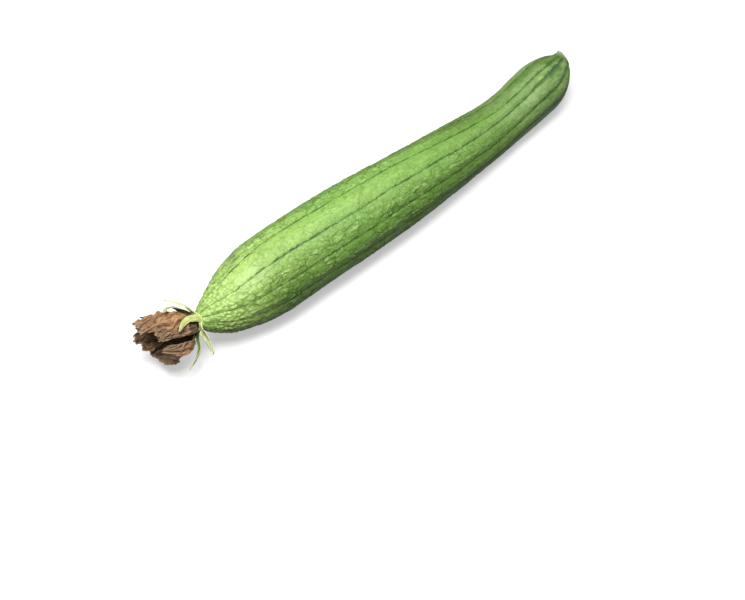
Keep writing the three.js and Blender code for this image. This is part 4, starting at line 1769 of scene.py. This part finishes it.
@dataclass
class Flower:
    """The withered flower: the calyx cup, five sepals round its rim and five petals out of it."""

    line: FlowerLine
    root: float = 2.0
    sepals: tuple[Sepal, ...] = (
        Sepal(
            1,
            4.0,
            ((4.0, -0.2, 64), (6.6, 2.8, 67), (8.4, 6.8, 70), (10.2, 10.6, 60), (12.6, 15.2, 42)),
            tip_width=1.8,
            dry=0.35,
        ),
        Sepal(
            2,
            4.0,
            ((4.0, -0.2, 122), (7.2, 2.4, 121), (11, 5.6, 114), (14.3, 10, 123), (16.6, 14.4, 140)),
        ),
        Sepal(
            3,
            4.2,
            (
                (4.0, -0.2, 176), (7.0, 2.2, 172), (9.5, 6, 156),
                (12, 11.4, 136), (13.2, 15.8, 116), (13.4, 19, 101),
            ),
            dry=0.3,
            dry_inside=0.7,
            shade=0.1,
        ),
        Sepal(
            4,
            6.2,
            (
                (4.0, -0.2, 2), (6.8, 1.4, -6), (10, 0.6, -18),
                (15.5, 0.6, -20), (20.6, 2.4, -15), (21.3, 5, -14),
            ),
            # Painted light on a blade that faces away from the lamps.
            bright=1.0,
        ),
        Sepal(
            5,
            4.4,
            (
                (4.0, -0.2, -48), (6.5, 1.9, -47), (9.2, 3.2, -44),
                (13.4, 4.6, -40), (17.8, 8, -38), (23, 14, -34),
            ),
            # Painted shade on a blade that lies under the flower.
            shade=0.95,
        ),
    )
    petals: tuple[Petal, ...] = (
        Petal(
            1,
            ((2.8, 0, -4), (7.2, 4, 7), (10, 10.5, 21), (12.2, 18, 31), (13, 25.5, 32)),
            (
                (2.8, 0, 54), (5.6, 5.4, 60), (8.8, 10.8, 60),
                (10.2, 16.2, 50), (11.6, 21.6, 66), (12.0, 27, 68),
            ),
            warmth=0.05,
            root_shade=0.5,
        ),
        Petal(
            2,
            ((2.8, 0, 64), (5.5, 5.5, 66), (8.4, 11, 60), (9.6, 16.5, 50), (10.2, 22, 64), (9.5, 33, 60)),
            (
                (2.8, 0, 142), (7.6, 5.5, 142), (9.8, 11, 142),
                (10.6, 16.5, 142), (11, 22, 144), (12.6, 33, 142),
            ),
            stretch=1.7,
            warmth=0.85,
        ),
        Petal(
            3,
            ((4.2, -0.6, 150), (7.5, 8, 158), (9.5, 17, 168), (9.6, 26, 182), (9, 34, 198)),
            ((4.2, -0.6, 222), (8, 7, 230), (10.5, 15, 250), (11.2, 23, 264), (10.8, 29.5, 268)),
            warmth=0.1,
        ),
        Petal(
            4,
            ((4.2, -0.6, 218), (8.4, 6, 231), (12, 12.5, 238), (14.8, 20, 242), (16, 27, 246)),
            ((4.2, -0.6, 304), (8.4, 4.5, 312), (13, 9.5, 308), (16.5, 14.5, 308), (18, 20.5, 314)),
            warmth=0.1,
        ),
        Petal(
            5,
            ((2.6, 0, -66), (5.6, 2.4, -54), (10.8, 4.8, -36), (15.4, 9, -12), (17.6, 15, -5), (14.6, 26, 8)),
            ((2.6, 0, -42), (5, 2.4, -36), (8.6, 5, -20), (11.4, 10, 4), (13.2, 16, 14), (13.4, 25, 21)),
            warmth=0.35,
            crumple=0.3,
            slope=0.13,
            pleat=0.15,
            tear=0.06,
        ),
    )

    def build(self, shift: Array) -> list[bpy.types.Object]:
        """Make the whole flower.

        Args:
            shift: From the gourd's millimetres to the row's.

        Returns:
            Its pieces.
        """
        green, paper = GreenFinish().material(), PetalFinish().material()
        pieces = [Calyx(self.line).build(shift, green)]
        pieces += [sepal.build(self.line, shift, green) for sepal in self.sepals]
        pieces += [petal.build(self.line, self.root, shift, paper) for petal in self.petals]
        return pieces


# ---- The studio


@dataclass(frozen=True)
class Lamp:
    """A square soft light that looks at one place."""

    name: str
    at: tuple[float, float, float]
    aim: tuple[float, float, float]
    size: float
    watts: float
    colour: Colour = (1.0, 1.0, 1.0)

    def build(self) -> bpy.types.Object:
        """Make the lamp.

        Returns:
            The lamp, linked to the scene.
        """
        data = bpy.data.lights.new(self.name, "AREA")
        data.shape = "SQUARE"
        data.size = self.size
        data.energy = self.watts
        data.color = self.colour
        lamp = bpy.data.objects.new(self.name, data)
        lamp.location = self.at
        lamp.rotation_euler = (Vector(self.aim) - Vector(self.at)).to_track_quat("-Z", "Y").to_euler()
        bpy.context.scene.collection.objects.link(lamp)
        return lamp


@dataclass(frozen=True)
class Studio:
    """A white floor, an even world and soft lamps, at a level where a colour renders as it is written."""

    floor_size: float = 6.0
    floor_drop: float = 0.0002
    floor_bounce: float = 0.06
    mirror_share: float = 0.25  # a satin skin lying on full white would show a grey edge
    floor_seen: float = 0.62
    floor_glow: float = 0.45
    glow_from: float = 0.3  # between these distances from the middle the floor turns all white
    glow_to: float = 1.6
    world_level: float = 0.16
    lamps: tuple[Lamp, ...] = (
        Lamp("key", (-0.32, -0.14, 0.92), (-0.10, 0.0, 0.0), 0.40, 8.5),
        Lamp("softbox", (0.10, -0.05, 1.30), (0.02, 0.0, 0.0), 1.3, 11.0),
    )

    def seen(self, wires: Wires) -> Socket:
        """How much of the white a ray meets: all from the camera, and a share by a mirror or glass.

        Args:
            wires: The tree of the floor or the world.

        Returns:
            The share, from 0 to 1.
        """
        rays = wires.node("ShaderNodeLightPath", {}).outputs
        mirrored = wires.sum("MAXIMUM", rays["Is Glossy Ray"], rays["Is Transmission Ray"])
        return wires.sum("MAXIMUM", rays["Is Camera Ray"], wires.times(mirrored, self.mirror_share))

    def floor(self) -> bpy.types.Object:
        """Make the floor: white with the gourd's shadow to the camera, and a dark grey to bounced light.

        Returns:
            The floor.
        """
        half = self.floor_size / 2
        corners = (-half, -half), (half, -half), (half, half), (-half, half)
        mesh = bpy.data.meshes.new("floor")
        mesh.from_pydata([(x, y, -self.floor_drop) for x, y in corners], [], [(0, 1, 2, 3)])
        floor = bpy.data.objects.new("floor", mesh)
        bpy.context.scene.collection.objects.link(floor)
        material, wires = empty_material("floor_white")
        seen = self.seen(wires)
        shade = wires.blend(seen, (self.floor_bounce,) * 3, (self.floor_seen,) * 3)
        diffuse = wires.node("ShaderNodeBsdfDiffuse", {"Color": shade}).outputs[0]
        place = wires.node("ShaderNodeTexCoord", {}).outputs["Object"]
        far = wires.node("ShaderNodeVectorMath", {0: place}, operation="LENGTH").outputs["Value"]
        glow = wires.times(seen, wires.span(far, self.glow_from, self.glow_to, self.floor_glow, 1.0))
        light = wires.node("ShaderNodeEmission", {"Color": WHITE, "Strength": glow}).outputs[0]
        both = wires.node("ShaderNodeAddShader", {0: diffuse, 1: light}).outputs[0]
        wires.node("ShaderNodeOutputMaterial", {0: both})
        mesh.materials.append(material)
        return floor

    def world(self) -> None:
        """Make the world: white to the camera, and a low even light on the gourd."""
        world = bpy.data.worlds.new("studio")
        world.use_nodes = True
        world.node_tree.nodes.clear()
        wires = Wires(world.node_tree)
        seen = self.seen(wires)
        level = wires.span(seen, 0.0, 1.0, self.world_level, 1.0)
        sky = wires.node("ShaderNodeBackground", {"Color": WHITE, "Strength": level}).outputs[0]
        wires.node("ShaderNodeOutputWorld", {0: sky})
        bpy.context.scene.world = world

    def build(self) -> None:
        """Set up the floor, the world and the lamps."""
        self.floor()
        self.world()
        for lamp in self.lamps:
            lamp.build()
        bpy.context.scene.view_settings.view_transform = "Standard"


@dataclass(frozen=True)
class Viewpoint:
    """Where the camera stands: its direction round and above the gourd, its distance and its lens."""

    azimuth: float = -45.76
    elevation: float = 49.0
    distance: float = 0.9
    lens: float = 77.68
    aim: tuple[float, float, float] = (-60.11, -42.88, 0.0)  # in the gourd's millimetres

    def build(self, shift: Array) -> bpy.types.Object:
        """Make the camera and make it the scene's.

        Args:
            shift: From the gourd's millimetres to the row's.

        Returns:
            The camera.
        """
        data = bpy.data.cameras.new("camera")
        data.lens = self.lens
        data.sensor_width = 36.0
        data.clip_start, data.clip_end = 0.01, 50.0
        round_, above = math.radians(self.azimuth), math.radians(self.elevation)
        level = math.cos(above)
        back = Vector((math.sin(round_) * level, -math.cos(round_) * level, math.sin(above)))
        camera = bpy.data.objects.new("camera", data)
        camera.location = Vector((np.array(self.aim) + shift) * MM) + back * self.distance
        camera.rotation_euler = (-back).to_track_quat("-Z", "Y").to_euler()
        bpy.context.scene.collection.objects.link(camera)
        bpy.context.scene.camera = camera
        return camera


def main() -> None:
    """Build the gourd and its studio, and report each piece."""
    logging.basicConfig(level=logging.INFO, format="%(name)s: %(message)s")
    build_effects()
    line = GourdLine()
    shift = line.shift()
    log.info("shift to the row %s mm", np.round(shift, 3))
    pieces = [Fruit(line).build(shift), StemStub(line).build(shift)]
    pieces += Flower(FlowerLine(line)).build(shift)
    for piece in pieces:
        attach(piece, "root")
        log.info("%s: %d faces", piece.name, len(piece.data.polygons))
    Studio().build()
    Viewpoint().build(shift)


if __name__ == "__main__":
    main()
